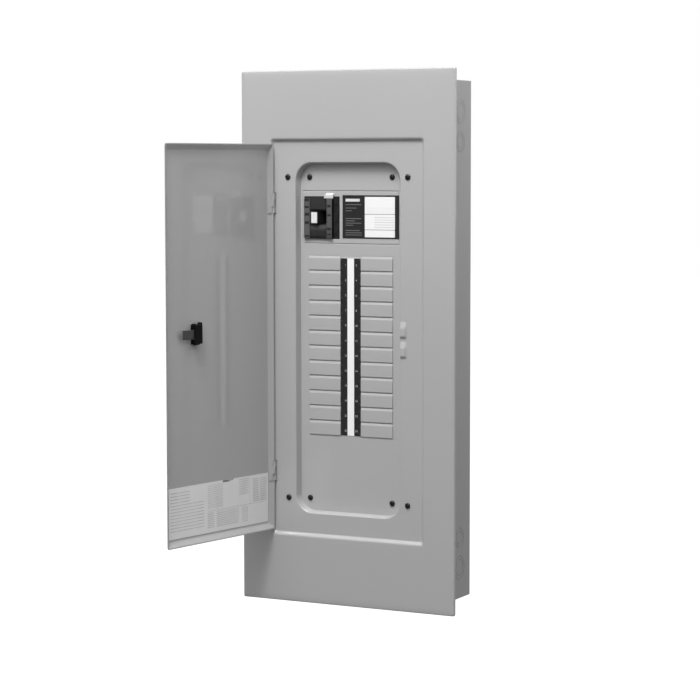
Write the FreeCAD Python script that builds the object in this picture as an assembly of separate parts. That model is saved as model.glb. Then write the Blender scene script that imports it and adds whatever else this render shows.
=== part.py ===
import FreeCAD, Part
import math
import os

# Residential load center: flush enclosure, dead front, main breaker, bus work and hinged trim door.
# Frame in millimetres: origin at the centre of the enclosure's back face, +X right, +Y into the
# wall, +Z up, so everything stands forward of the wall at negative Y.

os.makedirs("parts", exist_ok=True)
Vector = FreeCAD.Vector
X_AXIS = Vector(1, 0, 0)
Z_AXIS = Vector(0, 0, 1)

# Enclosure
BOX_WIDTH = 361.95
BOX_HEIGHT = 863.6
BOX_DEPTH = 98.4
BOX_SHEET = 1.5
BOX_RETURN = 13.0
WELD_FLANGE = 12.0
MOUNT_SPACING_X = 279.4
MOUNT_SPACING_Z = 762.0
MOUNT_HOLE_R = 3.5
STUD_SPACING_Z = 700.0
STUD_HOLE_R = 3.25
STUD_HOLE_DEPTH_FROM_FRONT = 22.0
KNOCKOUT_GROOVE_DEPTH = 0.6
KNOCKOUT_GROOVE_WIDTH = 0.9
SIDE_KNOCKOUTS = ((380.0, 14.3), (330.0, 11.1))
SIDE_KNOCKOUT_Y = 42.0
END_KNOCKOUTS = ((-130.0, 17.4), (-70.0, 22.2), (0.0, 31.8), (70.0, 22.2), (130.0, 17.4))
END_KNOCKOUT_Y = 46.0
KNOCKOUT_RING_STEP = 5.5

# Trim cover
COVER_OVERLAP = 19.05
COVER_SHEET = 1.2
COVER_EDGE_RISE = 1.5
COVER_FACE_RISE = 6.0
COVER_BORDER = 14.5
COVER_CORNER_R = 3.0
COVER_TO_RECESS_X = 56.125
COVER_TO_RECESS_Z = 114.45
RECESS_BEVEL = 4.4
RECESS_DEPTH = 5.0
RECESS_CORNER_R = 5.0
RECESS_TO_WELL_X = 45.7
RECESS_TO_WELL_Z = 39.7
WELL_CORNER_R = 31.0
WELL_DRAFT = 3.0
WELL_DEPTH = 12.9
PIECE_GAP = 0.3
TRIM_SCREW_TO_WELL_X = 14.4
SCREW_TO_WELL_Z = 24.2

# Dead front
DEAD_FRONT_TO_TRIM_SCREW = 9.6
DEAD_FRONT_OVERLAP_Z = 6.3
DEAD_FRONT_SHEET = 1.2
DEAD_FRONT_LIP = 8.0
DEAD_SCREW_TO_WELL_X = 20.5
BEAD_WIDTH = 182.6
BEAD_HEIGHT = 90.6
BEAD_TO_WELL_Z = 46.5
BEAD_LINE = 2.2
BEAD_DEPTH = 0.7
WINDOW_LEFT_X = -87.5
WINDOW_RIGHT_X = -21.0
WINDOW_HEIGHT = 71.4
WINDOW_TO_BEAD_Z = 10.2
ROW_PITCH = 25.4
ROW_COUNT = 12
ROWS_TO_BEAD_Z = 19.2
COLUMN_INNER_X = 18.9
COLUMN_WIDTH = 60.1
TWIST_OUT_RISE = 1.6
TWIST_OUT_TOP_BEVEL = 3.3
TWIST_OUT_BOTTOM_BEVEL = 2.2
STRIP_HEIGHT = 301.2
STRIP_THICKNESS = 0.5
LABEL_LEFT_X = -15.2
LABEL_RIGHT_X = 90.2
LABEL_HEIGHT = 72.3
LABEL_TO_BEAD_Z = 7.9
LABEL_THICKNESS = 0.4

# Fasteners
SCREW_HEAD_R = 5.0
SCREW_HEAD_HEIGHT = 2.6
SCREW_SHANK_R = 2.1
SCREW_CLEARANCE = 0.4
SCREW_PROTRUSION = 6.0
DRIVE_SLOT_WIDTH = 1.2
DRIVE_SLOT_DEPTH = 1.2
THREAD_CLEARANCE = 0.1

# Support rails
RAIL_HEIGHT = 24.0
RAIL_FLANGE = 12.0
RAIL_SHEET = 1.5

# Door
DOOR_CLEARANCE_X = 0.5
DOOR_CLEARANCE_Z = 3.4
DOOR_SHEET = 1.2
DOOR_RIM_CLEARANCE = 1.0
DOOR_FLANGE_WIDTH = 8.5
DOOR_FLANGE_DEPTH = 6.5
DOOR_CORNER_R = 4.0
DOOR_OPEN_ANGLE = 99.5
HINGE_AXIS_FROM_RIM_X = 0.73
HINGE_AXIS_FROM_RIM_Y = 1.87
HINGE_SPACING_Z = 456.0
HINGE_LENGTH = 34.0
HINGE_MIDDLE_KNUCKLE = 11.4
HINGE_BARREL_R = 3.0
HINGE_PIN_R = 1.5
HINGE_RUNNING_FIT = 0.05
HINGE_NOTCH_CLEARANCE = 0.8
HINGE_SHEET = 1.3
HINGE_LEAF_WIDTH = 18.0
DIRECTORY_HEIGHT = 82.0
DIRECTORY_MARGIN = 0.5
DIRECTORY_TO_DOOR_END = 15.6
PAPER = 0.3

# Door latch and its strike bridges
LATCH_Z = 17.5
STRIKE_PITCH = 33.0
STRIKE_TO_WELL = 7.3
STRIKE_WIDTH = 12.0
STRIKE_LENGTH = 25.0
STRIKE_RAMP = 3.5
BOLT_THICKNESS = 1.45
BOLT_HEIGHT = 15.5
BOLT_CLEARANCE = 0.2
BOLT_REST_TO_WELL_EDGE = 0.7
LATCH_TO_WELL = 28.0
LATCH_WIDTH = 19.0
LATCH_HEIGHT = 31.4
LATCH_WALL = 1.7
LATCH_BEZEL = 3.0
LATCH_BEZEL_THICKNESS = 1.2
LATCH_FIT = 0.15
THUMB_TAB = 5.0

# Interior: pan, bus bars and breaker rails
PAN_WIDTH = 184.0
PAN_BELOW_ROWS = 40.6
PAN_ABOVE_BEAD = 11.8
PAN_STANDOFF = 12.5
PAN_SHEET = 1.5
INSULATOR_WIDTH = 90.0
INSULATOR_HEIGHT = 26.0
INSULATOR_THICKNESS = 14.0
INSULATOR_PITCH_ROWS = 10
BUS_WIDTH = 19.0
BUS_GAP = 18.0
BUS_THICKNESS = 3.2
BUS_ABOVE_ROWS = 19.6
BUS_END_MARGIN = 6.0
STAB_HEIGHT = 16.0
STAB_REACH = 16.0
STAB_THICKNESS = 3.2
TONGUE_PAST_CENTRE = 4.0
HOOK_RAIL_TO_PAN_EDGE = 4.0
HOOK_RAIL_FOOT = 14.0
HOOK_RAIL_FORWARD = 29.5
HOOK_LIP = 8.0
HOOK_SLOT_HEIGHT = 10.0

# Neutral and ground
NEUTRAL_TO_PAN = 8.0
NEUTRAL_SIZE = 12.0
NEUTRAL_LENGTH = 316.0
NEUTRAL_TO_PAN_END = 9.0
NEUTRAL_STANDOFF = 18.0
NEUTRAL_POST = 16.0
NEUTRAL_POST_FROM_END = (46.0, 25.0)
NEUTRAL_SCREW_COUNT = 14
NEUTRAL_SCREW_PITCH = 18.0
NEUTRAL_SCREW_FIRST = 68.0
WIRE_HOLE_R = 3.0
BAR_SCREW_R = 2.5
BAR_SCREW_HEAD_R = 4.0
BAR_SCREW_HEAD_HEIGHT = 3.5
STRAP_HEIGHT = 16.0
STRAP_THICKNESS = 3.0
NEUTRAL_LUG_LENGTH = 30.0
NEUTRAL_LUG_SIZE = 24.0
LUG_BORE_R = 6.5
LUG_SCREW_R = 6.0
GROUND_BAR_TO_WALL = 14.475
GROUND_BAR_WIDTH = 10.0
GROUND_BAR_TO_END = 45.3
GROUND_BAR_LENGTH = 150.0
GROUND_SCREW_COUNT = 9
GROUND_SCREW_PITCH = 15.0

# Main breaker
BREAKER_LEFT_X = -92.0
BREAKER_RIGHT_X = -6.0
BREAKER_HEIGHT = 76.0
BREAKER_BACK = 28.0
BREAKER_SPLIT = 62.0
BREAKER_FACE = 84.0
BREAKER_WALL = 4.7
ESCUTCHEON_PROUD = 3.0
ESCUTCHEON_FIT = 0.7
RIB_RISE = 1.2
LEFT_RIB_WIDTH = 11.0
RIGHT_RIB_LEFT_X = -43.7
RIGHT_RIB_WIDTH = 10.0
HANDLE_PIVOT_X = -57.5
HANDLE_PIVOT_Y = -66.0
HANDLE_REACH = 30.0
HANDLE_TIP_WIDTH = 11.0
HANDLE_TIP_HEIGHT = 20.5
HANDLE_HUB_R = 8.0
HANDLE_HALF_THROW = 14.0
HANDLE_PIN_R = 2.0
HANDLE_SLOT_HALF = 14.0
HANDLE_SLOT_SIDE_CLEARANCE = 1.5
PIN_FIT = 0.05
EAR_THICKNESS = 3.0
EAR_HALF_WIDTH = 8.0
CROSSBAR_X = -40.0
CROSSBAR_Y = -46.0
CROSSBAR_R = 4.0
CROSSBAR_STUB_R = 2.5
CROSSBAR_STUB = 1.5
POLE_OFFSET_Z = 20.0
ARM_LENGTH = 40.0
ARM_THICKNESS = 4.0
ARM_WIDTH = 8.0
ARM_HUB_R = 6.5
CONTACT_SIZE = 6.0
CONTACT_HEIGHT = 2.0
CONTACT_GAP = 0.2
CONTACT_THROW = 20.0
LUG_LENGTH = 24.0
LUG_SIZE = 22.0
LINE_TONGUE_WIDTH = 12.0
LINE_TONGUE_INSIDE = 14.0
LINE_TONGUE_BACK = 35.0
TERMINAL_FIT = 0.3
LOAD_STRAP_WIDTH = 12.0
RETAINER_WIDTH = 19.0
RETAINER_HEIGHT = 9.0
RETAINER_THICKNESS = 1.4
RETAINER_LEFT_X = -50.0
RETAINER_OVERLAP = 3.3

# Outlines that keep together: each is stepped in from the one it sits in
COVER_WIDTH = BOX_WIDTH + 2 * COVER_OVERLAP
COVER_HEIGHT = BOX_HEIGHT + 2 * COVER_OVERLAP
RECESS_WIDTH = COVER_WIDTH - 2 * COVER_TO_RECESS_X
RECESS_HEIGHT = COVER_HEIGHT - 2 * COVER_TO_RECESS_Z
WELL_WIDTH = RECESS_WIDTH - 2 * RECESS_TO_WELL_X
WELL_HEIGHT = RECESS_HEIGHT - 2 * RECESS_TO_WELL_Z
DOOR_WIDTH = RECESS_WIDTH - 2 * RECESS_BEVEL - 2 * DOOR_CLEARANCE_X
DOOR_HEIGHT = RECESS_HEIGHT - 2 * RECESS_BEVEL - 2 * DOOR_CLEARANCE_Z
TRIM_SCREW_SPACING_X = WELL_WIDTH + 2 * TRIM_SCREW_TO_WELL_X
DEAD_SCREW_SPACING_X = WELL_WIDTH - 2 * DEAD_SCREW_TO_WELL_X
SCREW_SPACING_Z = WELL_HEIGHT - 2 * SCREW_TO_WELL_Z
DEAD_FRONT_WIDTH = TRIM_SCREW_SPACING_X - 2 * DEAD_FRONT_TO_TRIM_SCREW
DEAD_FRONT_HEIGHT = WELL_HEIGHT + 2 * DEAD_FRONT_OVERLAP_Z
DIRECTORY_CENTRE_Z = -DOOR_HEIGHT / 2 + DIRECTORY_TO_DOOR_END + DIRECTORY_HEIGHT / 2
STRIKE_CENTRE_X = WELL_WIDTH / 2 + STRIKE_TO_WELL
LATCH_RIGHT_X = WELL_WIDTH / 2 - LATCH_TO_WELL
BEAD_TOP_Z = WELL_HEIGHT / 2 - BEAD_TO_WELL_Z
BEAD_BOTTOM_Z = BEAD_TOP_Z - BEAD_HEIGHT
WINDOW_TOP_Z = BEAD_TOP_Z - WINDOW_TO_BEAD_Z
WINDOW_BOTTOM_Z = WINDOW_TOP_Z - WINDOW_HEIGHT
LABEL_TOP_Z = BEAD_TOP_Z - LABEL_TO_BEAD_Z
LABEL_BOTTOM_Z = LABEL_TOP_Z - LABEL_HEIGHT
ROWS_TOP_Z = BEAD_BOTTOM_Z - ROWS_TO_BEAD_Z
ROWS_BOTTOM_Z = ROWS_TOP_Z - ROW_COUNT * ROW_PITCH
ROWS_CENTRE_Z = (ROWS_TOP_Z + ROWS_BOTTOM_Z) / 2
PAN_BOTTOM_Z = ROWS_BOTTOM_Z - PAN_BELOW_ROWS
PAN_TOP_Z = BEAD_TOP_Z + PAN_ABOVE_BEAD
BUS_TOP_Z = ROWS_TOP_Z + BUS_ABOVE_ROWS
HOOK_RAIL_X = PAN_WIDTH / 2 - HOOK_RAIL_TO_PAN_EDGE
NEUTRAL_X = PAN_WIDTH / 2 + NEUTRAL_TO_PAN + NEUTRAL_SIZE / 2
NEUTRAL_BOTTOM_Z = PAN_BOTTOM_Z + NEUTRAL_TO_PAN_END
NEUTRAL_TOP_Z = NEUTRAL_BOTTOM_Z + NEUTRAL_LENGTH
GROUND_BAR_X = GROUND_BAR_TO_WALL + GROUND_BAR_WIDTH / 2 + BOX_SHEET - BOX_WIDTH / 2
GROUND_BAR_BOTTOM_Z = GROUND_BAR_TO_END + BOX_SHEET - BOX_HEIGHT / 2

# Depth levels, all measured forward from the back face
WALL_PLANE = -BOX_DEPTH
FACE_Y = WALL_PLANE - COVER_FACE_RISE
RECESS_Y = FACE_Y + RECESS_DEPTH
DEAD_FRONT_Y = RECESS_Y + WELL_DEPTH
DEAD_BACK_Y = DEAD_FRONT_Y + DEAD_FRONT_SHEET
PAN_Y = -BOX_SHEET - PAN_STANDOFF - PAN_SHEET
BUS_BACK_Y = PAN_Y - INSULATOR_THICKNESS
BUS_FRONT_Y = BUS_BACK_Y - BUS_THICKNESS
DOOR_RIM_Y = RECESS_Y - DOOR_RIM_CLEARANCE
DOOR_INNER_Y = DOOR_RIM_Y - DOOR_FLANGE_DEPTH
DOOR_OUTER_Y = DOOR_INNER_Y - DOOR_SHEET
HINGE_AXIS_X = -DOOR_WIDTH / 2 - HINGE_AXIS_FROM_RIM_X
HINGE_AXIS_Y = DOOR_RIM_Y - HINGE_AXIS_FROM_RIM_Y
HINGE_CENTRES = (HINGE_SPACING_Z / 2, -HINGE_SPACING_Z / 2)
BREAKER_CENTRE_Z = (WINDOW_BOTTOM_Z + WINDOW_TOP_Z) / 2
BREAKER_BOTTOM_Z = BREAKER_CENTRE_Z - BREAKER_HEIGHT / 2
BREAKER_TOP_Z = BREAKER_CENTRE_Z + BREAKER_HEIGHT / 2


def box(x_range, y_range, z_range):
    corner = Vector(min(x_range), min(y_range), min(z_range))
    size = [abs(span[1] - span[0]) for span in (x_range, y_range, z_range)]
    return Part.makeBox(size[0], size[1], size[2], corner)


def around(centre, size):
    return (centre - size / 2, centre + size / 2)


def rod(radius, start, end):
    start = Vector(*start)
    way = Vector(*end) - start
    return Part.makeCylinder(radius, way.Length, start, way)


def profile_along(points, axis, length):
    """A closed outline given as 3-D points, pushed along an axis."""
    outline = Part.makePolygon([Vector(*point) for point in points + points[:1]])
    return Part.Face(outline).extrude(axis * length)


def rounded_outline(width, height, radius, y):
    """A rounded rectangle in the plane at y, centred on the frame's origin."""
    half_w = width / 2
    half_h = height / 2
    corners = ((1, 1, 0), (-1, 1, 90), (-1, -1, 180), (1, -1, 270))
    edges = []
    ends = []
    for side_x, side_z, turn in corners:
        centre = Vector(side_x * (half_w - radius), y, side_z * (half_h - radius))
        points = []
        for angle in (turn, turn + 45, turn + 90):
            reach = Vector(math.cos(math.radians(angle)), 0, math.sin(math.radians(angle)))
            points.append(centre + reach * radius)
        edges.append(Part.Arc(*points).toShape())
        ends.append((points[0], points[2]))
    joined = []
    for index, edge in enumerate(edges):
        joined.append(edge)
        joined.append(Part.makeLine(ends[index][1], ends[(index + 1) % 4][0]))
    return Part.Wire(joined)


def frustum(front, back):
    """The solid between two rounded rectangles, each given as width, height, radius and y."""
    return Part.makeLoft([rounded_outline(*front), rounded_outline(*back)], True, True)


def grown_span(span, margin):
    return (span[0] - margin, span[1] + margin)


def join(solids):
    first = solids[0]
    return first.fuse(list(solids[1:])).removeSplitter() if len(solids) > 1 else first


def save(name, shapes):
    shapes = shapes if isinstance(shapes, list) else [shapes]
    solids = [solid for shape in shapes for solid in shape.Solids]
    result = solids[0] if len(solids) == 1 else Part.makeCompound(solids)
    result.exportStep("parts/" + name + ".step")


def machine_screw(x, z, seat_y, tip_y, head_r, head_height, shank_r):
    """A cross-slotted pan screw driven along +Y, its head's underside at seat_y."""
    top_y = seat_y - head_height
    screw = join([rod(head_r, (x, seat_y, z), (x, top_y, z)), rod(shank_r, (x, seat_y, z), (x, tip_y, z))])
    slot_y = (top_y, top_y + DRIVE_SLOT_DEPTH)
    screw = screw.cut(box(around(x, head_r * 1.2), slot_y, around(z, DRIVE_SLOT_WIDTH)))
    return screw.cut(box(around(x, DRIVE_SLOT_WIDTH), slot_y, around(z, head_r * 1.2)))


def knockout_grooves(centre, outward, radii):
    """Ring grooves that mark concentric knockouts in the outer face of a wall."""
    inward = outward * -KNOCKOUT_GROOVE_DEPTH
    rings = []
    for radius in radii:
        ring, core = [Part.makeCylinder(r, KNOCKOUT_GROOVE_DEPTH, centre + inward, outward)
                      for r in (radius, radius - KNOCKOUT_GROOVE_WIDTH)]
        rings.append(ring.cut(core))
    return rings


# Enclosure: one wrapped sheet for the back and sides, closed by two flanged end walls
half_box = BOX_WIDTH / 2
inner_half = half_box - BOX_SHEET
box_top = BOX_HEIGHT / 2


def enclosure_wrap():
    tall = (-box_top, box_top)
    wrap = [box((-half_box, half_box), (-BOX_SHEET, 0), tall)]
    for side in (-1, 1):
        wrap.append(box((side * inner_half, side * half_box), (WALL_PLANE, 0), tall))
        wrap.append(box((side * (half_box - BOX_RETURN), side * half_box),
                        (WALL_PLANE, WALL_PLANE + BOX_SHEET), tall))
    wrap = join(wrap)
    cuts = []
    for side_x in (-1, 1):
        for side_z in (-1, 1):
            x = side_x * MOUNT_SPACING_X / 2
            z = side_z * MOUNT_SPACING_Z / 2
            cuts.append(rod(MOUNT_HOLE_R, (x, -BOX_SHEET, z), (x, 0, z)))
            y = WALL_PLANE + STUD_HOLE_DEPTH_FROM_FRONT
            z = side_z * STUD_SPACING_Z / 2
            cuts.append(rod(STUD_HOLE_R, (side_x * inner_half, y, z), (side_x * half_box, y, z)))
            for height, radius in SIDE_KNOCKOUTS:
                centre = Vector(side_x * half_box, -SIDE_KNOCKOUT_Y, side_z * height)
                cuts += knockout_grooves(centre, X_AXIS * side_x, (radius, radius + KNOCKOUT_RING_STEP))
    return wrap.cut(cuts)


def end_wall(side):
    outer = side * box_top
    inner = outer - side * BOX_SHEET
    flange_z = (inner, inner - side * WELD_FLANGE)
    deep = (WALL_PLANE + BOX_SHEET, -BOX_SHEET)
    wall = [box((-inner_half, inner_half), (WALL_PLANE, -BOX_SHEET), (inner, outer)),
            box((-inner_half, inner_half), (-2 * BOX_SHEET, -BOX_SHEET), flange_z)]
    for side_x in (-1, 1):
        wall.append(box((side_x * (inner_half - BOX_SHEET), side_x * inner_half), deep, flange_z))
    front_reach = half_box - BOX_RETURN
    wall.append(box((-front_reach, front_reach), (WALL_PLANE, WALL_PLANE + BOX_SHEET), flange_z))
    grooves = []
    for x, radius in END_KNOCKOUTS:
        centre = Vector(x, -END_KNOCKOUT_Y, outer)
        radii = (radius, radius - KNOCKOUT_RING_STEP)
        grooves += knockout_grooves(centre, Z_AXIS * side, radii)
    web = (WALL_PLANE, WALL_PLANE + BOX_SHEET)
    wall = join(wall)
    for side_x in (-1, 1):
        wall = wall.cut(box((side_x * front_reach, side_x * inner_half), web, (inner, outer)))
    return wall.cut(grooves)


save("enclosure_wrap", enclosure_wrap())
save("top_end_wall", end_wall(1))
save("bottom_end_wall", end_wall(-1))


# Cross rails: channels welded between the sides, carrying the dead front and the trim
screw_hole_r = SCREW_SHANK_R + THREAD_CLEARANCE
screw_columns = (-TRIM_SCREW_SPACING_X / 2, -DEAD_SCREW_SPACING_X / 2,
                 DEAD_SCREW_SPACING_X / 2, TRIM_SCREW_SPACING_X / 2)


def support_rail(side):
    z = side * SCREW_SPACING_Z / 2
    span = (-inner_half, inner_half)
    web = (DEAD_BACK_Y, DEAD_BACK_Y + RAIL_SHEET)
    rail = [box(span, web, around(z, RAIL_HEIGHT))]
    for edge in (-1, 1):
        edge_z = z + edge * RAIL_HEIGHT / 2
        rail.append(box(span, (DEAD_BACK_Y, DEAD_BACK_Y + RAIL_FLANGE), (edge_z, edge_z - edge * RAIL_SHEET)))
    holes = [rod(screw_hole_r, (x, web[0], z), (x, web[1], z)) for x in screw_columns]
    return join(rail).cut(holes)


save("upper_support_rail", support_rail(1))
save("lower_support_rail", support_rail(-1))


# Trim cover: bordered face, recess for the door, floor round the well, and the well's wall
floor_back_y = RECESS_Y + COVER_SHEET
hinge_notch_r = HINGE_BARREL_R + HINGE_NOTCH_CLEARANCE
recess_floor = (RECESS_WIDTH - 2 * RECESS_BEVEL, RECESS_HEIGHT - 2 * RECESS_BEVEL, RECESS_CORNER_R)
strike_centres = (LATCH_Z, LATCH_Z - STRIKE_PITCH)


def barrel(radius, low, high):
    return rod(radius, (HINGE_AXIS_X, HINGE_AXIS_Y, low), (HINGE_AXIS_X, HINGE_AXIS_Y, high))


def grown(outline, margin):
    return (outline[0] + 2 * margin, outline[1] + 2 * margin, outline[2] + margin)


def trim_shell():
    outline = (COVER_WIDTH, COVER_HEIGHT, COVER_CORNER_R)
    face = grown(outline, -COVER_BORDER)[:2] + (COVER_CORNER_R,)
    edge_y = WALL_PLANE - COVER_EDGE_RISE
    body = frustum(outline + (edge_y,), face + (FACE_Y,))
    body = body.fuse(frustum(outline + (WALL_PLANE,), outline + (edge_y,)))
    inner_outline = grown(outline, -COVER_SHEET)
    inner_face = grown(face, -COVER_SHEET / 2)
    hollow = frustum(inner_outline + (edge_y + COVER_SHEET / 2,), inner_face + (FACE_Y + COVER_SHEET,))
    hollow = hollow.fuse(frustum(inner_outline + (WALL_PLANE + COVER_SHEET,),
                                 inner_outline + (edge_y + COVER_SHEET / 2,)))
    lip = (RECESS_WIDTH, RECESS_HEIGHT, RECESS_CORNER_R)
    backed_lip = grown(lip, COVER_SHEET)
    backed_floor = grown(recess_floor, COVER_SHEET)
    tray = frustum(backed_lip + (FACE_Y + COVER_SHEET / 2,), backed_floor + (floor_back_y,))
    tray = tray.fuse(frustum(backed_lip + (FACE_Y,), backed_lip + (FACE_Y + COVER_SHEET / 2,)))
    return body.cut(hollow).fuse(tray).cut(frustum(lip + (FACE_Y,), recess_floor + (RECESS_Y,)))


def strike_bridge(z):
    """A lanced bridge in the recess floor, open left and right for the latch bolt."""
    back = RECESS_Y
    inner = RECESS_Y - BOLT_THICKNESS - 2 * BOLT_CLEARANCE
    outer = inner - COVER_SHEET
    half = STRIKE_LENGTH / 2
    x = STRIKE_CENTRE_X - STRIKE_WIDTH / 2
    outline = [(x, back, z - half), (x, outer, z - half + STRIKE_RAMP), (x, outer, z + half - STRIKE_RAMP),
               (x, back, z + half), (x, back, z + half - COVER_SHEET),
               (x, inner, z + half - STRIKE_RAMP - COVER_SHEET / 2),
               (x, inner, z - half + STRIKE_RAMP + COVER_SHEET / 2), (x, back, z - half + COVER_SHEET)]
    return profile_along(outline, X_AXIS, STRIKE_WIDTH)


def trim_cover():
    well_front = (WELL_WIDTH, WELL_HEIGHT, WELL_CORNER_R)
    well_back = grown(well_front, -WELL_DRAFT)
    well_end_y = DEAD_FRONT_Y - PIECE_GAP
    wall = frustum(grown(well_front, COVER_SHEET) + (RECESS_Y,),
                   grown(well_back, COVER_SHEET) + (well_end_y,))
    cover = trim_shell().fuse(wall).cut(frustum(well_front + (RECESS_Y,), well_back + (well_end_y,)))
    floor = (RECESS_Y, floor_back_y)
    cuts = []
    for x in (screw_columns[0], screw_columns[-1]):
        for z in (-SCREW_SPACING_Z / 2, SCREW_SPACING_Z / 2):
            cuts.append(rod(SCREW_SHANK_R + SCREW_CLEARANCE, (x, floor[0], z), (x, floor[1], z)))
    for centre in HINGE_CENTRES:
        span = around(centre, HINGE_LENGTH + 2 * HINGE_NOTCH_CLEARANCE)
        cuts.append(barrel(hinge_notch_r, *span))
        cuts.append(box((HINGE_AXIS_X, HINGE_AXIS_X + hinge_notch_r + HINGE_SHEET),
                        (HINGE_AXIS_Y, floor_back_y), span))
    bridges = []
    for z in strike_centres:
        cuts.append(box(around(STRIKE_CENTRE_X, STRIKE_WIDTH), floor,
                        around(z, STRIKE_LENGTH - 2 * COVER_SHEET)))
        bridges.append(strike_bridge(z))
    return cover.cut(cuts).fuse(bridges).removeSplitter()


save("trim_cover", trim_cover())
rail_tip_y = DEAD_BACK_Y + SCREW_PROTRUSION


def corner_screws(columns, seat_y):
    screws = []
    for x in columns:
        for side in (-1, 1):
            screws.append(machine_screw(x, side * SCREW_SPACING_Z / 2, seat_y, rail_tip_y,
                                        SCREW_HEAD_R, SCREW_HEAD_HEIGHT, SCREW_SHANK_R))
    return screws


save("trim_screws", corner_screws((screw_columns[0], screw_columns[-1]), RECESS_Y))
save("dead_front_screws", corner_screws(screw_columns[1:3], DEAD_FRONT_Y))


# Dead front: flat sheet with a breaker window and two columns closed by twist-outs
rows_span = (ROWS_BOTTOM_Z, ROWS_TOP_Z)
row_centres = [ROWS_BOTTOM_Z + ROW_PITCH * (row + 0.5) for row in range(ROW_COUNT)]


def column_span(side):
    return (side * COLUMN_INNER_X, side * (COLUMN_INNER_X + COLUMN_WIDTH))


def dead_front():
    sheet = (DEAD_FRONT_Y, DEAD_BACK_Y)
    half_w = DEAD_FRONT_WIDTH / 2
    half_h = DEAD_FRONT_HEIGHT / 2
    plate = [box((-half_w, half_w), sheet, (-half_h, half_h))]
    for side in (-1, 1):
        plate.append(box((-half_w, half_w), (DEAD_FRONT_Y, DEAD_BACK_Y + DEAD_FRONT_LIP),
                         (side * half_h, side * (half_h - DEAD_FRONT_SHEET))))
    cuts = [box((WINDOW_LEFT_X, WINDOW_RIGHT_X), sheet, (WINDOW_BOTTOM_Z, WINDOW_TOP_Z))]
    for side in (-1, 1):
        cuts.append(box(column_span(side), sheet, rows_span))
    for x in screw_columns[1:3]:
        for side in (-1, 1):
            z = side * SCREW_SPACING_Z / 2
            cuts.append(rod(SCREW_SHANK_R + SCREW_CLEARANCE, (x, sheet[0], z), (x, sheet[1], z)))
    bead_y = (DEAD_FRONT_Y, DEAD_FRONT_Y + BEAD_DEPTH)
    bead = box(around(0, BEAD_WIDTH), bead_y, (BEAD_BOTTOM_Z, BEAD_TOP_Z))
    inside = box(around(0, BEAD_WIDTH - 2 * BEAD_LINE), bead_y,
                 (BEAD_BOTTOM_Z + BEAD_LINE, BEAD_TOP_Z - BEAD_LINE))
    return join(plate).cut(cuts + [bead.cut(inside)])


def twist_outs(side):
    """One raised plate per breaker space, with bevelled top and bottom edges."""
    low_x, high_x = sorted(column_span(side))
    low_x += PIECE_GAP / 2
    length = high_x - PIECE_GAP / 2 - low_x
    front = DEAD_FRONT_Y - TWIST_OUT_RISE
    half = (ROW_PITCH - PIECE_GAP) / 2
    plates = []
    for z in row_centres:
        outline = [(low_x, DEAD_BACK_Y, z - half), (low_x, DEAD_FRONT_Y, z - half),
                   (low_x, front, z - half + TWIST_OUT_BOTTOM_BEVEL),
                   (low_x, front, z + half - TWIST_OUT_TOP_BEVEL),
                   (low_x, DEAD_FRONT_Y, z + half), (low_x, DEAD_BACK_Y, z + half)]
        plates.append(profile_along(outline, X_AXIS, length))
    return plates


save("dead_front", dead_front())
save("left_twist_outs", twist_outs(-1))
save("right_twist_outs", twist_outs(1))
save("circuit_number_strip", box(around(0, 2 * COLUMN_INNER_X - PIECE_GAP),
                                 (DEAD_FRONT_Y - STRIP_THICKNESS, DEAD_FRONT_Y),
                                 around(ROWS_CENTRE_Z, STRIP_HEIGHT)))
save("rating_label", box((LABEL_LEFT_X, LABEL_RIGHT_X), (DEAD_FRONT_Y - LABEL_THICKNESS, DEAD_FRONT_Y),
                         (LABEL_BOTTOM_Z, LABEL_TOP_Z)))


def main_breaker_retainer():
    """A bent tab on the dead front that laps the breaker window's top edge."""
    x = RETAINER_LEFT_X
    low = WINDOW_TOP_Z - RETAINER_OVERLAP
    high = low + RETAINER_HEIGHT
    front = DEAD_FRONT_Y - ESCUTCHEON_PROUD - RETAINER_THICKNESS - PIECE_GAP
    y = front + RETAINER_THICKNESS
    outline = [(x, y, low), (x, front, low), (x, front, high - RETAINER_OVERLAP),
               (x, DEAD_FRONT_Y, high), (x, DEAD_FRONT_Y, WINDOW_TOP_Z), (x, y, WINDOW_TOP_Z)]
    return profile_along(outline, X_AXIS, RETAINER_WIDTH)


save("main_breaker_retainer", main_breaker_retainer())


# Door, built closed in the recess and then swung open on its hinge
flange_run = math.hypot(DOOR_FLANGE_WIDTH, DOOR_FLANGE_DEPTH)
door_edge_run = DOOR_SHEET * flange_run / DOOR_FLANGE_DEPTH
rim_corner_x = -DOOR_WIDTH / 2 + door_edge_run
directory_width = DOOR_WIDTH - 2 * (door_edge_run + DOOR_FLANGE_WIDTH + DIRECTORY_MARGIN)
bolt_back_y = RECESS_Y - BOLT_CLEARANCE
bolt_front_y = bolt_back_y - BOLT_THICKNESS
cup_floor_y = bolt_back_y + BOLT_CLEARANCE
latch_x = (LATCH_RIGHT_X - LATCH_WIDTH, LATCH_RIGHT_X)
bolt_tip_x = WELL_WIDTH / 2 - BOLT_REST_TO_WELL_EDGE


def opened(shape):
    turned = shape.copy()
    turned.rotate(Vector(HINGE_AXIS_X, HINGE_AXIS_Y, 0), Z_AXIS, -DOOR_OPEN_ANGLE)
    return turned


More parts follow.
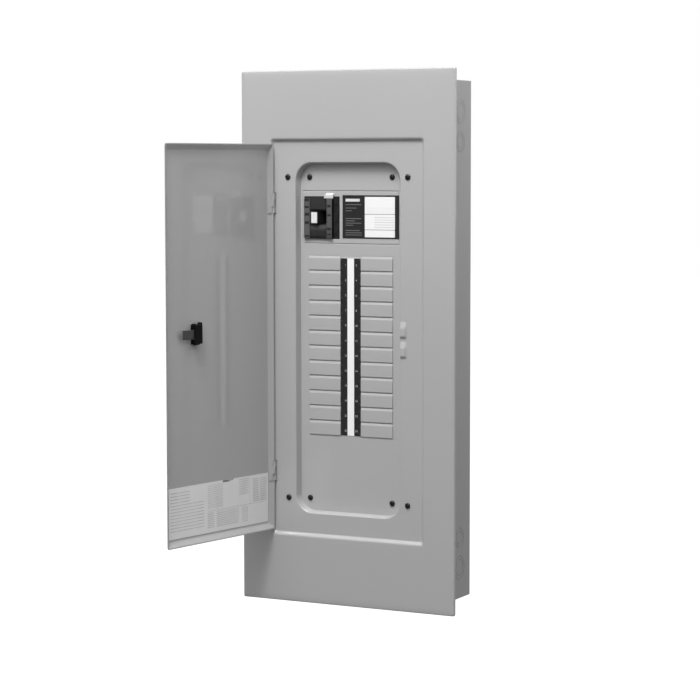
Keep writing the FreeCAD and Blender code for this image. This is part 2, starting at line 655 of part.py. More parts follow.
def door_panel():
    rim = (DOOR_WIDTH, DOOR_HEIGHT, DOOR_CORNER_R)
    outer_run = DOOR_FLANGE_WIDTH * (DOOR_FLANGE_DEPTH + DOOR_SHEET) / DOOR_FLANGE_DEPTH
    outer_face = grown(rim, -outer_run)[:2] + (DOOR_CORNER_R,)
    inner_rim = grown(rim, -door_edge_run)[:2] + (DOOR_CORNER_R,)
    inner_face = grown(inner_rim, -DOOR_FLANGE_WIDTH)[:2] + (DOOR_CORNER_R,)
    panel = frustum(rim + (DOOR_RIM_Y,), outer_face + (DOOR_OUTER_Y,))
    panel = panel.cut(frustum(inner_rim + (DOOR_RIM_Y,), inner_face + (DOOR_INNER_Y,)))
    cuts = [box(grown_span(latch_x, LATCH_FIT), (DOOR_OUTER_Y, DOOR_INNER_Y),
                around(LATCH_Z, LATCH_HEIGHT + 2 * LATCH_FIT))]
    for centre in HINGE_CENTRES:
        cuts.append(barrel(hinge_notch_r, *around(centre, HINGE_LENGTH + 2 * HINGE_NOTCH_CLEARANCE)))
    return panel.cut(cuts)


def hinge_cover_leaf(centre):
    """Two outer knuckles on a leaf that passes through the recess floor and is welded behind it."""
    left = HINGE_AXIS_X + HINGE_BARREL_R - HINGE_SHEET
    back = floor_back_y + HINGE_SHEET
    pieces = [box((left, left + HINGE_LEAF_WIDTH), (floor_back_y, back), around(centre, HINGE_LENGTH))]
    for side in (-1, 1):
        span = (centre + side * (HINGE_MIDDLE_KNUCKLE / 2 + PIECE_GAP), centre + side * HINGE_LENGTH / 2)
        pieces.append(barrel(HINGE_BARREL_R, *span))
        pieces.append(box((left, left + HINGE_SHEET), (HINGE_AXIS_Y, back), span))
    return join(pieces).cut(barrel(HINGE_PIN_R + HINGE_RUNNING_FIT, *around(centre, HINGE_LENGTH)))


def hinge_door_leaf(centre):
    """The middle knuckle on a leaf that is welded along the inside of the door's flange."""
    along = Vector(DOOR_FLANGE_WIDTH, -DOOR_FLANGE_DEPTH, 0) / flange_run
    inward = Vector(DOOR_FLANGE_DEPTH, DOOR_FLANGE_WIDTH, 0) / flange_run
    axis = Vector(HINGE_AXIS_X, HINGE_AXIS_Y, 0)
    seat = (Vector(rim_corner_x, DOOR_RIM_Y, 0) - axis).dot(inward)
    end = (Vector(rim_corner_x, DOOR_RIM_Y, 0) - axis).dot(along) + flange_run - HINGE_SHEET

    def slab(runs, heights, low, high):
        corners = [axis + along * runs[i] + inward * heights[j] for i, j in ((0, 0), (1, 0), (1, 1), (0, 1))]
        return profile_along([(corner.x, corner.y, low) for corner in corners], Z_AXIS, high - low)

    middle = around(centre, HINGE_MIDDLE_KNUCKLE)
    strip = (seat, seat + HINGE_SHEET)
    pieces = [barrel(HINGE_BARREL_R, *middle),
              slab((0, HINGE_SHEET), (0, strip[1]), *middle),
              slab((0, hinge_notch_r), strip, *middle),
              slab((hinge_notch_r, end), strip, *around(centre, HINGE_LENGTH))]
    return join(pieces).cut(barrel(HINGE_PIN_R + HINGE_RUNNING_FIT, *middle))


def latch_housing():
    """A cup through the door panel, with a bezel outside and a slot for the bolt."""
    bezel_y = DOOR_OUTER_Y - LATCH_BEZEL_THICKNESS
    cup_x = grown_span(latch_x, -LATCH_WALL)
    cup_z = around(LATCH_Z, LATCH_HEIGHT - 2 * LATCH_WALL)
    shell = join([box(grown_span(latch_x, LATCH_BEZEL), (bezel_y, DOOR_OUTER_Y),
                      around(LATCH_Z, LATCH_HEIGHT + 2 * LATCH_BEZEL)),
                  box(latch_x, (DOOR_OUTER_Y, cup_floor_y + LATCH_WALL),
                      around(LATCH_Z, LATCH_HEIGHT))])
    slot = box((cup_x[1], latch_x[1]), (bolt_front_y - BOLT_CLEARANCE, cup_floor_y),
               around(LATCH_Z, BOLT_HEIGHT + 2 * BOLT_CLEARANCE))
    return shell.cut([box(cup_x, (bezel_y, cup_floor_y), cup_z), slot])


def latch_slide():
    """A thumb tab on a flat bolt that goes under a strike bridge."""
    left = latch_x[0] + LATCH_WALL + PIECE_GAP
    bolt = box((left, bolt_tip_x), (bolt_front_y, bolt_back_y), around(LATCH_Z, BOLT_HEIGHT))
    tab_height = LATCH_HEIGHT - 2 * LATCH_WALL - 2 * PIECE_GAP
    tab = box((left, left + THUMB_TAB), (DOOR_OUTER_Y, bolt_front_y), around(LATCH_Z, tab_height))
    return join([bolt, tab])


save("door_panel", opened(door_panel()))
save("latch_housing", opened(latch_housing()))
save("latch_slide", opened(latch_slide()))
save("directory_label", opened(box(around(0, directory_width), (DOOR_INNER_Y, DOOR_INNER_Y + PAPER),
                                   around(DIRECTORY_CENTRE_Z, DIRECTORY_HEIGHT))))
for place, centre in zip(("upper", "lower"), HINGE_CENTRES):
    save(place + "_hinge_cover_leaf", hinge_cover_leaf(centre))
    save(place + "_hinge_door_leaf", opened(hinge_door_leaf(centre)))
    save(place + "_hinge_pin", barrel(HINGE_PIN_R, *around(centre, HINGE_LENGTH)))


# Interior pan: a channel that stands the live parts off the enclosure's back
pan_z = (PAN_BOTTOM_Z, PAN_TOP_Z)
pan_half = PAN_WIDTH / 2
insulator_centres = around(ROWS_CENTRE_Z, INSULATOR_PITCH_ROWS * ROW_PITCH)
bus_centre_x = (BUS_GAP + BUS_WIDTH) / 2
hook_screw_x = HOOK_RAIL_X - HOOK_RAIL_FOOT / 2
pan_screw_r = BAR_SCREW_R + THREAD_CLEARANCE
pan_tip_y = PAN_Y + PAN_SHEET
strap_z = NEUTRAL_BOTTOM_Z + STRAP_HEIGHT / 2
strap_bolt_z = (row_centres[-1] + STAB_HEIGHT / 2 + BUS_TOP_Z) / 2


def interior_pan():
    pan = [box((-pan_half, pan_half), (PAN_Y, PAN_Y + PAN_SHEET), pan_z)]
    for side in (-1, 1):
        pan.append(box((side * pan_half, side * (pan_half - PAN_SHEET)), (PAN_Y, -BOX_SHEET), pan_z))
    holes = []
    for z in insulator_centres:
        for x in (-bus_centre_x, bus_centre_x, -hook_screw_x, hook_screw_x):
            holes.append(rod(pan_screw_r, (x, PAN_Y, z), (x, PAN_Y + PAN_SHEET, z)))
    holes.append(rod(pan_screw_r, (0, PAN_Y, strap_z), (0, PAN_Y + PAN_SHEET, strap_z)))
    return join(pan).cut(holes)


def bus_insulators():
    blocks = []
    for z in insulator_centres:
        block = box(around(0, INSULATOR_WIDTH), (BUS_BACK_Y, PAN_Y), around(z, INSULATOR_HEIGHT))
        blocks.append(block.cut([rod(pan_screw_r, (x, BUS_BACK_Y, z), (x, PAN_Y, z))
                                 for x in (-bus_centre_x, bus_centre_x)]))
    return blocks


def bus_bar(side):
    """A phase bar with a stab on every other row, reaching across the centre line."""
    inner = side * BUS_GAP / 2
    outer = inner + side * BUS_WIDTH
    bottom = row_centres[0] - STAB_HEIGHT / 2 - BUS_END_MARGIN
    bar = [box((inner, outer), (BUS_FRONT_Y, BUS_BACK_Y), (bottom, BUS_TOP_Z))]
    tongue_y = (BUS_FRONT_Y - BUS_THICKNESS, BUS_FRONT_Y)
    first_row = 0 if side < 0 else 1
    for z in row_centres[first_row::2]:
        bar.append(box((outer, -side * TONGUE_PAST_CENTRE), tongue_y, around(z, STAB_HEIGHT)))
        bar.append(box(around(0, STAB_THICKNESS), (tongue_y[0] - STAB_REACH, tongue_y[0]),
                       around(z, STAB_HEIGHT)))
    x = side * bus_centre_x
    holes = [rod(pan_screw_r, (x, tongue_y[0], z), (x, BUS_BACK_Y, z)) for z in insulator_centres]
    holes.append(rod(pan_screw_r, (x, BUS_FRONT_Y, strap_bolt_z), (x, BUS_BACK_Y, strap_bolt_z)))
    return join(bar).cut(holes)


def hook_rail(side):
    """The outer rail that branch breakers hook under, on a foot screwed to the pan."""
    x = side * HOOK_RAIL_X
    foot = box((x, x - side * HOOK_RAIL_FOOT), (PAN_Y - BOX_SHEET, PAN_Y), rows_span)
    front = PAN_Y - HOOK_RAIL_FORWARD
    web = box((x, x - side * BOX_SHEET), (front, PAN_Y), rows_span)
    lip = box((x, x - side * HOOK_LIP), (front, front + BOX_SHEET), rows_span)
    slots = [box((x - side * BOX_SHEET, x - side * HOOK_LIP), (front, front + BOX_SHEET),
                 around(z, HOOK_SLOT_HEIGHT)) for z in row_centres]
    holes = [rod(pan_screw_r, (side * hook_screw_x, PAN_Y - BOX_SHEET, z), (side * hook_screw_x, PAN_Y, z))
             for z in insulator_centres]
    return join([foot, web, lip]).cut(slots + holes)


def bar_screw(x, z, seat_y, tip_y, head_r=BAR_SCREW_HEAD_R):
    return machine_screw(x, z, seat_y, tip_y, head_r, BAR_SCREW_HEAD_HEIGHT, BAR_SCREW_R)


save("interior_pan", interior_pan())
save("bus_insulators", bus_insulators())
save("left_bus_bar", bus_bar(-1))
save("right_bus_bar", bus_bar(1))
save("left_hook_rail", hook_rail(-1))
save("right_hook_rail", hook_rail(1))
bus_screws = []
hook_screws = []
for side in (-1, 1):
    for z in insulator_centres:
        bus_screws.append(bar_screw(side * bus_centre_x, z, BUS_FRONT_Y, pan_tip_y))
        hook_screws.append(bar_screw(side * hook_screw_x, z, PAN_Y - BOX_SHEET, pan_tip_y))
save("bus_bar_screws", bus_screws)
save("hook_rail_screws", hook_screws)


# Neutral and ground bars with their wire screws
neutral_back_y = -BOX_SHEET - NEUTRAL_STANDOFF
neutral_front_y = neutral_back_y - NEUTRAL_SIZE
screw_rows = [NEUTRAL_BOTTOM_Z + NEUTRAL_SCREW_FIRST + NEUTRAL_SCREW_PITCH * row
              for row in range(NEUTRAL_SCREW_COUNT)]
post_rows = (NEUTRAL_BOTTOM_Z + NEUTRAL_POST_FROM_END[0], NEUTRAL_TOP_Z - NEUTRAL_POST_FROM_END[1])
ground_front_y = -BOX_SHEET - GROUND_BAR_WIDTH
ground_rows = [GROUND_BAR_BOTTOM_Z + GROUND_SCREW_PITCH * (row + 1) for row in range(GROUND_SCREW_COUNT)]


def wire_bar(x, width, y_range, z_range, screw_zs):
    """A square bar with cross holes for wires and a threaded hole for each clamping screw."""
    bar = box(around(x, width), y_range, z_range)
    middle_y = (y_range[0] + y_range[1]) / 2
    holes = []
    for z in screw_zs:
        holes.append(rod(WIRE_HOLE_R, (x - width / 2, middle_y, z), (x + width / 2, middle_y, z)))
        holes.append(rod(pan_screw_r, (x, min(y_range), z), (x, middle_y, z)))
    return bar.cut(holes)


def wire_screws(x, front_y, depth, screw_zs):
    return [bar_screw(x, z, front_y, front_y + depth / 2) for z in screw_zs]


def neutral_bar(side):
    bar = wire_bar(side * NEUTRAL_X, NEUTRAL_SIZE, (neutral_front_y, neutral_back_y),
                   (NEUTRAL_BOTTOM_Z, NEUTRAL_TOP_Z), screw_rows)
    return bar.cut(rod(pan_screw_r, (side * NEUTRAL_X, neutral_front_y, strap_z),
                       (side * NEUTRAL_X, neutral_back_y, strap_z)))


def neutral_strap():
    reach = NEUTRAL_X + NEUTRAL_SIZE / 2
    strap_y = (neutral_front_y - STRAP_THICKNESS, neutral_front_y)
    strap = box((-reach, reach), strap_y, around(strap_z, STRAP_HEIGHT))
    return strap.cut([rod(pan_screw_r, (x, strap_y[0], strap_z), (x, strap_y[1], strap_z))
                      for x in (-NEUTRAL_X, 0, NEUTRAL_X)])


lug_z = (NEUTRAL_TOP_Z, NEUTRAL_TOP_Z + NEUTRAL_LUG_LENGTH)
lug_middle_z = sum(lug_z) / 2
lug_y = (neutral_back_y - NEUTRAL_LUG_SIZE, neutral_back_y)
lug_middle_y = sum(lug_y) / 2
neutral_lug = box(around(-NEUTRAL_X, NEUTRAL_LUG_SIZE), lug_y, lug_z)
neutral_lug = neutral_lug.cut([
    rod(LUG_BORE_R, (-NEUTRAL_X, lug_middle_y, lug_z[0]), (-NEUTRAL_X, lug_middle_y, lug_z[1])),
    rod(LUG_SCREW_R + THREAD_CLEARANCE, (-NEUTRAL_X, lug_y[0], lug_middle_z),
        (-NEUTRAL_X, lug_middle_y, lug_middle_z))])
strap_front_y = neutral_front_y - STRAP_THICKNESS
posts = [box(around(side * NEUTRAL_X, NEUTRAL_POST), (neutral_back_y, -BOX_SHEET), around(z, NEUTRAL_POST))
         for side in (-1, 1) for z in post_rows]
posts.append(box(around(-NEUTRAL_X, NEUTRAL_POST), (neutral_back_y, -BOX_SHEET),
                 around(lug_middle_z, NEUTRAL_POST)))
save("left_neutral_bar", neutral_bar(-1))
save("right_neutral_bar", neutral_bar(1))
save("neutral_bar_posts", posts)
save("neutral_bar_screws", wire_screws(-NEUTRAL_X, neutral_front_y, NEUTRAL_SIZE, screw_rows)
     + wire_screws(NEUTRAL_X, neutral_front_y, NEUTRAL_SIZE, screw_rows))
save("neutral_strap", neutral_strap())
save("neutral_strap_bolts", [bar_screw(side * NEUTRAL_X, strap_z, strap_front_y, neutral_back_y)
                             for side in (-1, 1)])
save("bonding_screw", bar_screw(0, strap_z, strap_front_y, pan_tip_y))
save("neutral_lug", neutral_lug)
save("neutral_lug_screw", rod(LUG_SCREW_R, (-NEUTRAL_X, lug_y[0] - BAR_SCREW_HEAD_HEIGHT, lug_middle_z),
                              (-NEUTRAL_X, lug_middle_y - LUG_BORE_R, lug_middle_z)))
save("ground_bar", wire_bar(GROUND_BAR_X, GROUND_BAR_WIDTH, (ground_front_y, -BOX_SHEET),
                            (GROUND_BAR_BOTTOM_Z, GROUND_BAR_BOTTOM_Z + GROUND_BAR_LENGTH), ground_rows))
save("ground_bar_screws", wire_screws(GROUND_BAR_X, ground_front_y, GROUND_BAR_WIDTH, ground_rows))


# Main breaker: mount, base, cover with its escutcheon, handle, contacts and terminals
breaker_x = (BREAKER_LEFT_X, BREAKER_RIGHT_X)
breaker_z = (BREAKER_BOTTOM_Z, BREAKER_TOP_Z)
cavity_x = grown_span(breaker_x, -BREAKER_WALL)
cavity_z = grown_span(breaker_z, -BREAKER_WALL)
cavity_back_y = -BREAKER_BACK - BREAKER_WALL
escutcheon_y = DEAD_FRONT_Y - ESCUTCHEON_PROUD
pole_centres = (BREAKER_CENTRE_Z - POLE_OFFSET_Z, BREAKER_CENTRE_Z + POLE_OFFSET_Z)
handle_z = around(BREAKER_CENTRE_Z, HANDLE_TIP_HEIGHT)
tongue_y = (-LINE_TONGUE_BACK - BUS_THICKNESS, -LINE_TONGUE_BACK)
tongue_end_x = cavity_x[0] + LINE_TONGUE_INSIDE
lug_x = (BREAKER_LEFT_X - PIECE_GAP - LUG_LENGTH, BREAKER_LEFT_X - PIECE_GAP)
line_lug_y = (tongue_y[1] - LUG_SIZE, tongue_y[1])
line_bore_y = (tongue_y[0] + line_lug_y[0]) / 2
load_y = (BUS_FRONT_Y - BUS_THICKNESS, BUS_FRONT_Y)
left_strap_x = around(-bus_centre_x, LOAD_STRAP_WIDTH)
right_strap_x = around(bus_centre_x, LOAD_STRAP_WIDTH)


def breaker_mount():
    """A hat bracket between the pan and the breaker's base."""
    mount_x = grown_span(breaker_x, -BREAKER_WALL)
    web = box(mount_x, (-BREAKER_BACK, -BREAKER_BACK + PAN_SHEET), breaker_z)
    legs = [box((x, x + side * PAN_SHEET), (-BREAKER_BACK, PAN_Y), breaker_z)
            for x, side in ((mount_x[0], 1), (mount_x[1], -1))]
    return join([web] + legs)


def main_breaker_base():
    base = box(breaker_x, (-BREAKER_SPLIT, -BREAKER_BACK), breaker_z)
    cuts = [box(cavity_x, (-BREAKER_SPLIT, cavity_back_y), cavity_z)]
    stub_r = CROSSBAR_STUB_R + PIN_FIT
    reach = CROSSBAR_STUB + PIECE_GAP
    cuts.append(rod(stub_r, (CROSSBAR_X, CROSSBAR_Y, cavity_z[0] - reach),
                    (CROSSBAR_X, CROSSBAR_Y, cavity_z[1] + reach)))
    for z in pole_centres:
        cuts.append(box((BREAKER_LEFT_X, cavity_x[0]), grown_span(tongue_y, TERMINAL_FIT),
                        around(z, LINE_TONGUE_WIDTH + 2 * TERMINAL_FIT)))
    cuts.append(box(grown_span(left_strap_x, TERMINAL_FIT), grown_span(load_y, TERMINAL_FIT),
                    (breaker_z[0], cavity_z[0])))
    cuts.append(box((cavity_x[1], BREAKER_RIGHT_X), grown_span(load_y, TERMINAL_FIT),
                    around(pole_centres[1], LOAD_STRAP_WIDTH + 2 * TERMINAL_FIT)))
    return base.cut(cuts)


def main_breaker_cover():
    cover = box(breaker_x, (-BREAKER_FACE, -BREAKER_SPLIT), breaker_z)
    boss_x = grown_span((WINDOW_LEFT_X, WINDOW_RIGHT_X), -ESCUTCHEON_FIT)
    boss_z = grown_span((WINDOW_BOTTOM_Z, WINDOW_TOP_Z), -ESCUTCHEON_FIT)
    ribs = [(boss_x[0], boss_x[0] + LEFT_RIB_WIDTH), (RIGHT_RIB_LEFT_X, RIGHT_RIB_LEFT_X + RIGHT_RIB_WIDTH)]
    boss = [box(boss_x, (escutcheon_y, -BREAKER_FACE), boss_z)]
    rib_z = (boss_z[0], WINDOW_TOP_Z - RETAINER_OVERLAP - PIECE_GAP)
    boss += [box(rib, (escutcheon_y - RIB_RISE, escutcheon_y), rib_z) for rib in ribs]
    cavity_front_y = -BREAKER_FACE + BREAKER_WALL
    cover = join([cover] + boss).cut(box(cavity_x, (cavity_front_y, -BREAKER_SPLIT), cavity_z))
    ear_reach = HANDLE_TIP_HEIGHT / 2 + PIECE_GAP
    ears = [box(around(HANDLE_PIVOT_X, 2 * EAR_HALF_WIDTH), (cavity_front_y, HANDLE_PIVOT_Y + EAR_HALF_WIDTH),
                (BREAKER_CENTRE_Z + side * ear_reach, BREAKER_CENTRE_Z + side * (ear_reach + EAR_THICKNESS)))
            for side in (-1, 1)]
    slot = box(around(HANDLE_PIVOT_X, 2 * HANDLE_SLOT_HALF), (escutcheon_y - RIB_RISE, cavity_front_y),
               grown_span(handle_z, HANDLE_SLOT_SIDE_CLEARANCE))
    end_step = box((ribs[1][1], boss_x[1]), (escutcheon_y, escutcheon_y + ESCUTCHEON_PROUD), boss_z)
    pin_z = grown_span(around(BREAKER_CENTRE_Z, 2 * ear_reach), EAR_THICKNESS)
    bore = rod(HANDLE_PIN_R + PIN_FIT, (HANDLE_PIVOT_X, HANDLE_PIVOT_Y, pin_z[0]),
               (HANDLE_PIVOT_X, HANDLE_PIVOT_Y, pin_z[1]))
    return cover.fuse(ears).cut([slot, end_step, bore]).removeSplitter()


def main_breaker_handle():
    """The toggle, modelled upright and leant to its left-hand stop."""
    hub = rod(HANDLE_HUB_R, (HANDLE_PIVOT_X, HANDLE_PIVOT_Y, handle_z[0]),
              (HANDLE_PIVOT_X, HANDLE_PIVOT_Y, handle_z[1]))
    arm = box(around(HANDLE_PIVOT_X, HANDLE_TIP_WIDTH), (HANDLE_PIVOT_Y - HANDLE_REACH, HANDLE_PIVOT_Y),
              handle_z)
    bore = rod(HANDLE_PIN_R + PIN_FIT, (HANDLE_PIVOT_X, HANDLE_PIVOT_Y, handle_z[0]),
               (HANDLE_PIVOT_X, HANDLE_PIVOT_Y, handle_z[1]))
    handle = join([hub, arm]).cut(bore)
    handle.rotate(Vector(HANDLE_PIVOT_X, HANDLE_PIVOT_Y, 0), Z_AXIS, -HANDLE_HALF_THROW)
    return handle


def contact_arms():
    """Both moving contacts, modelled closed on the line tongues and swung open."""
    arms = []
    contact_front = tongue_y[0] - CONTACT_GAP
    arm_back = contact_front - CONTACT_HEIGHT
    tip_x = CROSSBAR_X - ARM_LENGTH
    for z in pole_centres:
        span = around(z, ARM_WIDTH)
        hub = rod(ARM_HUB_R, (CROSSBAR_X, CROSSBAR_Y, span[0]), (CROSSBAR_X, CROSSBAR_Y, span[1]))
        blade = box((tip_x, CROSSBAR_X), (arm_back - ARM_THICKNESS, arm_back), span)
        button = box((tip_x, tip_x + CONTACT_SIZE), (arm_back, contact_front), around(z, CONTACT_SIZE))
        bore = rod(CROSSBAR_R, (CROSSBAR_X, CROSSBAR_Y, span[0]), (CROSSBAR_X, CROSSBAR_Y, span[1]))
        arm = join([hub, blade, button]).cut(bore)
        arm.rotate(Vector(CROSSBAR_X, CROSSBAR_Y, 0), Z_AXIS, CONTACT_THROW)
        arms.append(arm)
    return arms


def line_lugs():
    """Line terminals: a lug outside the case, and a tongue through its wall to the fixed contact."""
    lugs = []
    middle_x = sum(lug_x) / 2
    for z in pole_centres:
        block = box(lug_x, line_lug_y, around(z, LUG_SIZE))
        tongue = box((lug_x[0], tongue_end_x), tongue_y, around(z, LINE_TONGUE_WIDTH))
        bore = rod(LUG_BORE_R, (lug_x[0], line_bore_y, z), (lug_x[1], line_bore_y, z))
        thread = rod(LUG_SCREW_R + THREAD_CLEARANCE, (middle_x, line_lug_y[0], z), (middle_x, line_bore_y, z))
        lugs.append(join([block, tongue]).cut([bore, thread]))
    return lugs


def load_straps():
    """Straps from the breaker's load side down to the tops of the two bus bars."""
    strap_low = strap_bolt_z - LOAD_STRAP_WIDTH / 2
    inside = LOAD_STRAP_WIDTH
    left = box(left_strap_x, load_y, (strap_low, cavity_z[0] + inside))
    right = join([box((cavity_x[1] - inside, right_strap_x[1]), load_y,
                      around(pole_centres[1], LOAD_STRAP_WIDTH)),
                  box(right_strap_x, load_y, (strap_low, pole_centres[1]))])
    straps = []
    for strap, x in ((left, -bus_centre_x), (right, bus_centre_x)):
        straps.append(strap.cut(rod(pan_screw_r, (x, load_y[0], strap_bolt_z), (x, load_y[1], strap_bolt_z))))
    return straps


save("main_breaker_mount", breaker_mount())
save("main_breaker_base", main_breaker_base())
save("main_breaker_cover", main_breaker_cover())
save("main_breaker_handle", main_breaker_handle())
pin_half = HANDLE_TIP_HEIGHT / 2 + PIECE_GAP + EAR_THICKNESS
save("handle_pin", rod(HANDLE_PIN_R, (HANDLE_PIVOT_X, HANDLE_PIVOT_Y, BREAKER_CENTRE_Z - pin_half),
                       (HANDLE_PIVOT_X, HANDLE_PIVOT_Y, BREAKER_CENTRE_Z + pin_half)))
bar_z = grown_span(cavity_z, -PIECE_GAP)
stub_z = grown_span(cavity_z, CROSSBAR_STUB)
save("contact_crossbar", join([
    rod(CROSSBAR_R, (CROSSBAR_X, CROSSBAR_Y, bar_z[0]), (CROSSBAR_X, CROSSBAR_Y, bar_z[1])),
    rod(CROSSBAR_STUB_R, (CROSSBAR_X, CROSSBAR_Y, stub_z[0]), (CROSSBAR_X, CROSSBAR_Y, stub_z[1]))]))
save("moving_contact_arms", contact_arms())
save("line_lugs", line_lugs())
save("line_lug_screws", [rod(LUG_SCREW_R, (sum(lug_x) / 2, line_lug_y[0] - BAR_SCREW_HEAD_HEIGHT, z),
                             (sum(lug_x) / 2, line_bore_y - LUG_BORE_R, z)) for z in pole_centres])
save("load_straps", load_straps())
save("load_strap_bolts", [bar_screw(side * bus_centre_x, strap_bolt_z, load_y[0], BUS_BACK_Y)
                          for side in (-1, 1)])
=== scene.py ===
import math

import bmesh
import bpy
from mathutils import Matrix, Vector


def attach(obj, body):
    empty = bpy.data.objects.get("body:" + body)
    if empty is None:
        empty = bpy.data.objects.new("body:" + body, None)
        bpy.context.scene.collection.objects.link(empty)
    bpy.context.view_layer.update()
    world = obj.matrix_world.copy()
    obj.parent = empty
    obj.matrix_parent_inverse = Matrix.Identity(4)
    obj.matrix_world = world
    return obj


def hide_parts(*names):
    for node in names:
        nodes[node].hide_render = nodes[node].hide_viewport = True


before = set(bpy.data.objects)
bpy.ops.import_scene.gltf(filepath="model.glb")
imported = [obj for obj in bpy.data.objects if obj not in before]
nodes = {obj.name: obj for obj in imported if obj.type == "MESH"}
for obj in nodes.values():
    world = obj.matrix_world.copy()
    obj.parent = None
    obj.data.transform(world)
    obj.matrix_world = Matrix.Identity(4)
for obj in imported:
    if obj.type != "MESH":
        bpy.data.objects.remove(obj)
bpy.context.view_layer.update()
MM = 0.001


# Studio: a long lens a little above the panel's middle, turned to show its right side. Soft lights
# hang above and in front of the panel, a weak one rims its right side and one lights its back.
scene = bpy.context.scene
scene.view_settings.view_transform = "Standard"


def aimed(spot, target):
    """The turn that points a camera or lamp at spot towards target."""
    return (Vector(target) - Vector(spot)).to_track_quat("-Z", "Y").to_euler()


camera_turn = math.radians(27.38)
camera_dip = math.radians(4.61)
camera_roll = math.radians(-0.069)
camera_spot = Vector((1.78957, -3.545111, 0.296507))
view_way = Vector((-math.sin(camera_turn) * math.cos(camera_dip),
                   math.cos(camera_turn) * math.cos(camera_dip), -math.sin(camera_dip)))
camera = bpy.data.objects.new("camera", bpy.data.cameras.new("camera"))
camera.data.sensor_width = 36
camera.data.lens = 119.49387
camera.data.clip_end = 60
camera.location = camera_spot
level = view_way.to_track_quat("-Z", "Y").to_matrix()
camera.rotation_euler = (level @ Matrix.Rotation(camera_roll, 3, "Z")).to_euler()
scene.collection.objects.link(camera)
scene.camera = camera

for name, spot, size, power in (
        ("overhead softbox", (0.0, -2.0, 3.6), 1.5, 135), ("front softbox", (0.3, -3.5, 2.6), 1.5, 21),
        ("left head", (-0.3, -1.3, 1.6), 0.8, 7.5), ("top head", (0.2, -0.9, 1.5), 0.5, 3.7),
        ("rim light", (1.0, 0.1, 1.2), 0.4, 5.0), ("back softbox", (1.9, 1.7, 0.8), 1.4, 16)):
    lamp = bpy.data.objects.new(name, bpy.data.lights.new(name, "AREA"))
    lamp.data.size = size
    lamp.data.energy = power
    lamp.location = spot
    lamp.rotation_euler = aimed(spot, (0, -0.1, 0))
    scene.collection.objects.link(lamp)


# Wiring: the small pieces that finishes and node groups are made with. A Signal is one value
# running between nodes, and sums and products of signals add the Math nodes they need.
class Signal:
    """One value in a node tree."""

    def __init__(self, wiring, socket):
        self.wiring = wiring
        self.socket = socket

    def worked(self, operation, *values):
        return self.wiring.add("ShaderNodeMath", {"operation": operation}, dict(enumerate(values)))

    def __add__(self, other):
        return self.worked("ADD", self, other)

    def __sub__(self, other):
        return self.worked("SUBTRACT", self, other)

    def __rsub__(self, other):
        return self.worked("SUBTRACT", other, self)

    def __mul__(self, other):
        return self.worked("MULTIPLY", self, other)

    def __gt__(self, other):
        return self.worked("GREATER_THAN", self, other)

    def __lt__(self, other):
        return self.worked("LESS_THAN", self, other)

    def __mod__(self, other):
        return self.worked("FLOORED_MODULO", self, other)

    def __or__(self, other):
        return self.worked("MAXIMUM", self, other)

    __radd__ = __add__
    __rmul__ = __mul__

    def between(self, low, high):
        return (self > low) * (self < high)


class Wiring:
    """The nodes of one finish or one node group."""

    def __init__(self, tree):
        self.tree = tree

    def add(self, kind, settings=None, sockets=None, output=0):
        node = self.tree.nodes.new(kind)
        for key, value in (settings or {}).items():
            setattr(node, key, value)
        for key, value in (sockets or {}).items():
            self.plug(node.inputs[key], value)
        return Signal(self, node.outputs[output])

    def plug(self, socket, value):
        if isinstance(value, Signal):
            self.tree.links.new(value.socket, socket)
        else:
            socket.default_value = value


def grey(tone):
    return (tone, tone, tone, 1)


class Finish(Wiring):
    """A material with one main shader, named for what the real surface is."""

    def __init__(self, name, metal=0.0):
        self.material = bpy.data.materials.new(name)
        self.material.use_nodes = True
        super().__init__(self.material.node_tree)
        self.shader = self.tree.nodes["Principled BSDF"]
        self.shader.inputs["Metallic"].default_value = metal
        self.place = self.add("ShaderNodeTexCoord", output="Object")

    def surface(self, **signals):
        """Plugs in the shader's sockets by name and gives back the material."""
        for name, value in signals.items():
            self.plug(self.shader.inputs[name.replace("_", " ")], value)
        return self.material

    def millimetres(self, place=None):
        """The three coordinates of a place, by default the object's own."""
        split = [self.add("ShaderNodeSeparateXYZ", {}, {"Vector": place or self.place}, i) for i in range(3)]
        return [part * 1000 for part in split]

    def noise(self, scale, detail=2.0, stretch=None):
        place = self.place
        if stretch:
            place = self.add("ShaderNodeVectorMath", {"operation": "MULTIPLY"}, {0: place, 1: stretch})
        return self.add("ShaderNodeTexNoise", {}, {"Vector": place, "Scale": scale, "Detail": detail}, "Fac")

    def blended(self, share, first, second):
        mix = {"data_type": "RGBA"}
        return self.add("ShaderNodeMix", mix, {0: share, 6: first, 7: second}, 2)

    def relief(self, height, depth, edge=0.0):
        """Bumps of the given depth in metres, over edges rounded off to the given radius."""
        sockets = {"Height": height, "Distance": depth}
        if edge:
            sockets["Normal"] = self.add("ShaderNodeBevel", {"samples": 6}, {"Radius": edge})
        return self.add("ShaderNodeBump", {}, sockets)


# Painted steel: baked grey paint with a fine orange peel and a thin clear gloss, faintly uneven in
# tone. The trim, door and dead front share one colour, and the box is darker and has no gloss.
def painted_steel(name, tone, shine=0.44, edge=0.0, gloss=0.75):
    finish = Finish(name)
    drift = finish.noise(3.5, 3.0)
    speckle = finish.noise(260, 2.0)
    peel = finish.noise(900, 1.0)
    share = drift * 0.7 + speckle * 0.3
    colour = finish.blended(share, grey(tone * 0.955), grey(tone * 1.045))
    return finish.surface(Base_Color=colour, Roughness=shine + (drift - 0.5) * 0.12 + (peel - 0.5) * 0.06,
                          Coat_Weight=gloss, Coat_Roughness=0.07, Coat_IOR=1.75,
                          Normal=finish.relief(peel, 0.00003, edge))


